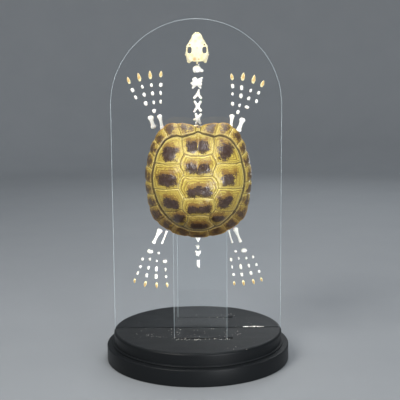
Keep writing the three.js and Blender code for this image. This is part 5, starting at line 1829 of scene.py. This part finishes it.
def glue_field(p):
    """The field of a wisp of dried glue along the long slot."""
    numbers = np.random.default_rng(9)
    top = HIGH_DISC[1][2]
    parts = []
    for x in np.arange(GLUE["start"], GLUE["end"], GLUE["step"]):
        radius = numbers.uniform(0.1, 0.5) + (x - GLUE["start"]) / GLUE["swell"]
        y = GLUE["y"] + numbers.uniform(-0.5, 0.6)
        parts.append(ball(p, (x, y, top), (numbers.uniform(0.8, 1.7), radius, 0.5 * radius)))
    return melt(0.7, *parts) + 0.12 * ripple(p, 1.5, 91)


class SKELETON_OT_dust(bpy.types.Operator):
    """Scatters dust on the base and lays dried glue in the long slot"""

    bl_idname = "skeleton.dust"
    bl_label = "Dust and glue"
    bl_options = {"REGISTER", "UNDO"}

    def execute(self, context):
        look = context.scene.skeleton_stand
        tree = fleck_tree()
        top = HIGH_DISC[1][2]
        material = dry_dust()
        for number, (x, y, half_x, half_y, share, size) in enumerate(DUST_PATCHES, 1):
            left, right, front, back = x - half_x, x + half_x, y - half_y, y + half_y
            plan = [(left, front), (right, front), (right, back), (left, back)]
            source = bpy.data.meshes.new("dust_source")
            source.from_pydata([(a * MM, b * MM, top * MM) for a, b in plan], [], [(0, 1, 2, 3)])
            density = int(share * look.flecks / (4 * half_x * half_y * MM * MM))
            values = {"Density": float(density), "Size": size * MM, "Seed": number, "Finish": material}
            seat(grown(f"dust_{number}", tree, source, values, sharp=30), "black_paint")

        low, high = (GLUE["start"] - 5, -1, top - 1.5), (GLUE["end"] + 4, 5, top + 1.6)
        points, faces = skin(glue_field, low, high, 0.22)
        seat(mesh_of("glue_in_slot", points, faces, [dried_glue()], sharp=180), "black_paint")
        return {"FINISHED"}


class SKELETON_OT_stage(bpy.types.Operator):
    """Makes the plain floor, the soft lights and the camera"""

    bl_idname = "skeleton.stage"
    bl_label = "Stage"
    bl_options = {"REGISTER", "UNDO"}

    def execute(self, context):
        scene = context.scene
        look = scene.skeleton_stage
        radius = look.floor_radius / MM
        bend, wall, steps = 600, 1800, 96
        curve = rounded((radius, bend), bend, -90, 0, 17)
        profile = [(0, 0), (150, 0), (600, 0), *curve, (radius + bend, wall)]
        turns = np.linspace(0, 2 * np.pi, steps, endpoint=False)
        points = [(0, 0, 0)]
        points += [(r * math.cos(t), r * math.sin(t), h) for r, h in profile[1:] for t in turns]
        faces = []
        for k in range(steps):
            after = (k + 1) % steps
            faces.append((0, 1 + k, 1 + after))
            for ring in range(len(profile) - 2):
                a, b = 1 + ring * steps + k, 1 + ring * steps + after
                faces.append((a, a + steps, b + steps, b))

        mesh_of("stage_floor", points, faces, [floor_matt()], sharp=180)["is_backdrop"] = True

        world = bpy.data.worlds.new("soft_sky")
        world.use_nodes = True
        background = world.node_tree.nodes["Background"]
        background.inputs["Color"].default_value = rgba(TINTS["sky"])
        background.inputs["Strength"].default_value = look.sky
        scene.world = world
        scene.view_settings.view_transform = "Standard"

        lights = [
            ("key_light", look.key, (-0.75, -1.0, 1.05), 0.7, (1.0, 0.97, 0.92)),
            ("fill_light", look.fill, (0.68, -1.25, 0.14), 0.5, (0.96, 0.98, 1.0)),
            ("top_light", look.top, (0.1, -0.15, 1.35), 0.6, (1.0, 1.0, 1.0)),
            ("back_light", look.back, (0.4, 1.2, 0.9), 0.7, (0.95, 0.98, 1.0)),
        ]
        for name, power, place, size, tint in lights:
            lamp = bpy.data.lights.new(name, "AREA")
            lamp.shape = "DISK"
            lamp.size = size
            lamp.energy = power
            lamp.color = tint
            made = bpy.data.objects.new(name, lamp)
            made.location = place
            made.rotation_euler = (Vector(place) - Vector(AIM)).to_track_quat("Z", "Y").to_euler()
            scene.collection.objects.link(made)

        camera = bpy.data.objects.new("camera", bpy.data.cameras.new("camera"))
        camera.data.lens = CAMERA["lens"]
        camera.data.sensor_width = 36
        camera.location = CAMERA["place"]
        tilt = Matrix.Rotation(math.radians(90 - CAMERA["down"]), 4, "X")
        roll = Matrix.Rotation(math.radians(CAMERA["roll"]), 4, "Z")
        camera.rotation_euler = (tilt @ roll).to_euler()
        scene.collection.objects.link(camera)
        scene.camera = camera
        return {"FINISHED"}


SETTINGS = {
    "skeleton_stand": StandSettings,
    "skeleton_shell": ShellSettings,
    "skeleton_bones": BoneSettings,
    "skeleton_stage": StageSettings,
}
OPERATORS = [
    SKELETON_OT_stage, SKELETON_OT_base, SKELETON_OT_panels, SKELETON_OT_dust, SKELETON_OT_carapace,
    SKELETON_OT_plastron, SKELETON_OT_skull, SKELETON_OT_backbone, SKELETON_OT_limbs, SKELETON_OT_feet,
    SKELETON_OT_claws,
]


class SKELETON_PT_panel(bpy.types.Panel):
    """The settings and the pieces of the skeleton"""

    bl_label = "Tortoise skeleton"
    bl_space_type = "VIEW_3D"
    bl_region_type = "UI"
    bl_category = "Skeleton"

    def draw(self, context):
        for operator in OPERATORS:
            self.layout.operator(operator.bl_idname)
        for group, settings in SETTINGS.items():
            column = self.layout.column(heading=settings.__doc__)
            for name in settings.__annotations__:
                column.prop(getattr(context.scene, group), name)


def register():
    for name, settings in SETTINGS.items():
        bpy.utils.register_class(settings)
        setattr(bpy.types.Scene, name, PointerProperty(type=settings))
    for operator in OPERATORS:
        bpy.utils.register_class(operator)
    bpy.utils.register_class(SKELETON_PT_panel)


def unregister():
    bpy.utils.unregister_class(SKELETON_PT_panel)
    for operator in reversed(OPERATORS):
        bpy.utils.unregister_class(operator)
    for name, settings in reversed(SETTINGS.items()):
        delattr(bpy.types.Scene, name)
        bpy.utils.unregister_class(settings)


def main():
    register()
    for operator in OPERATORS:
        group, name = operator.bl_idname.split(".")
        getattr(getattr(bpy.ops, group), name)()
    boxes = {"cad": CAD_BOX, "visual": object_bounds()}
    {key: [list(corner) for corner in box] for key, box in boxes.items()}


if __name__ == "__main__":
    main()
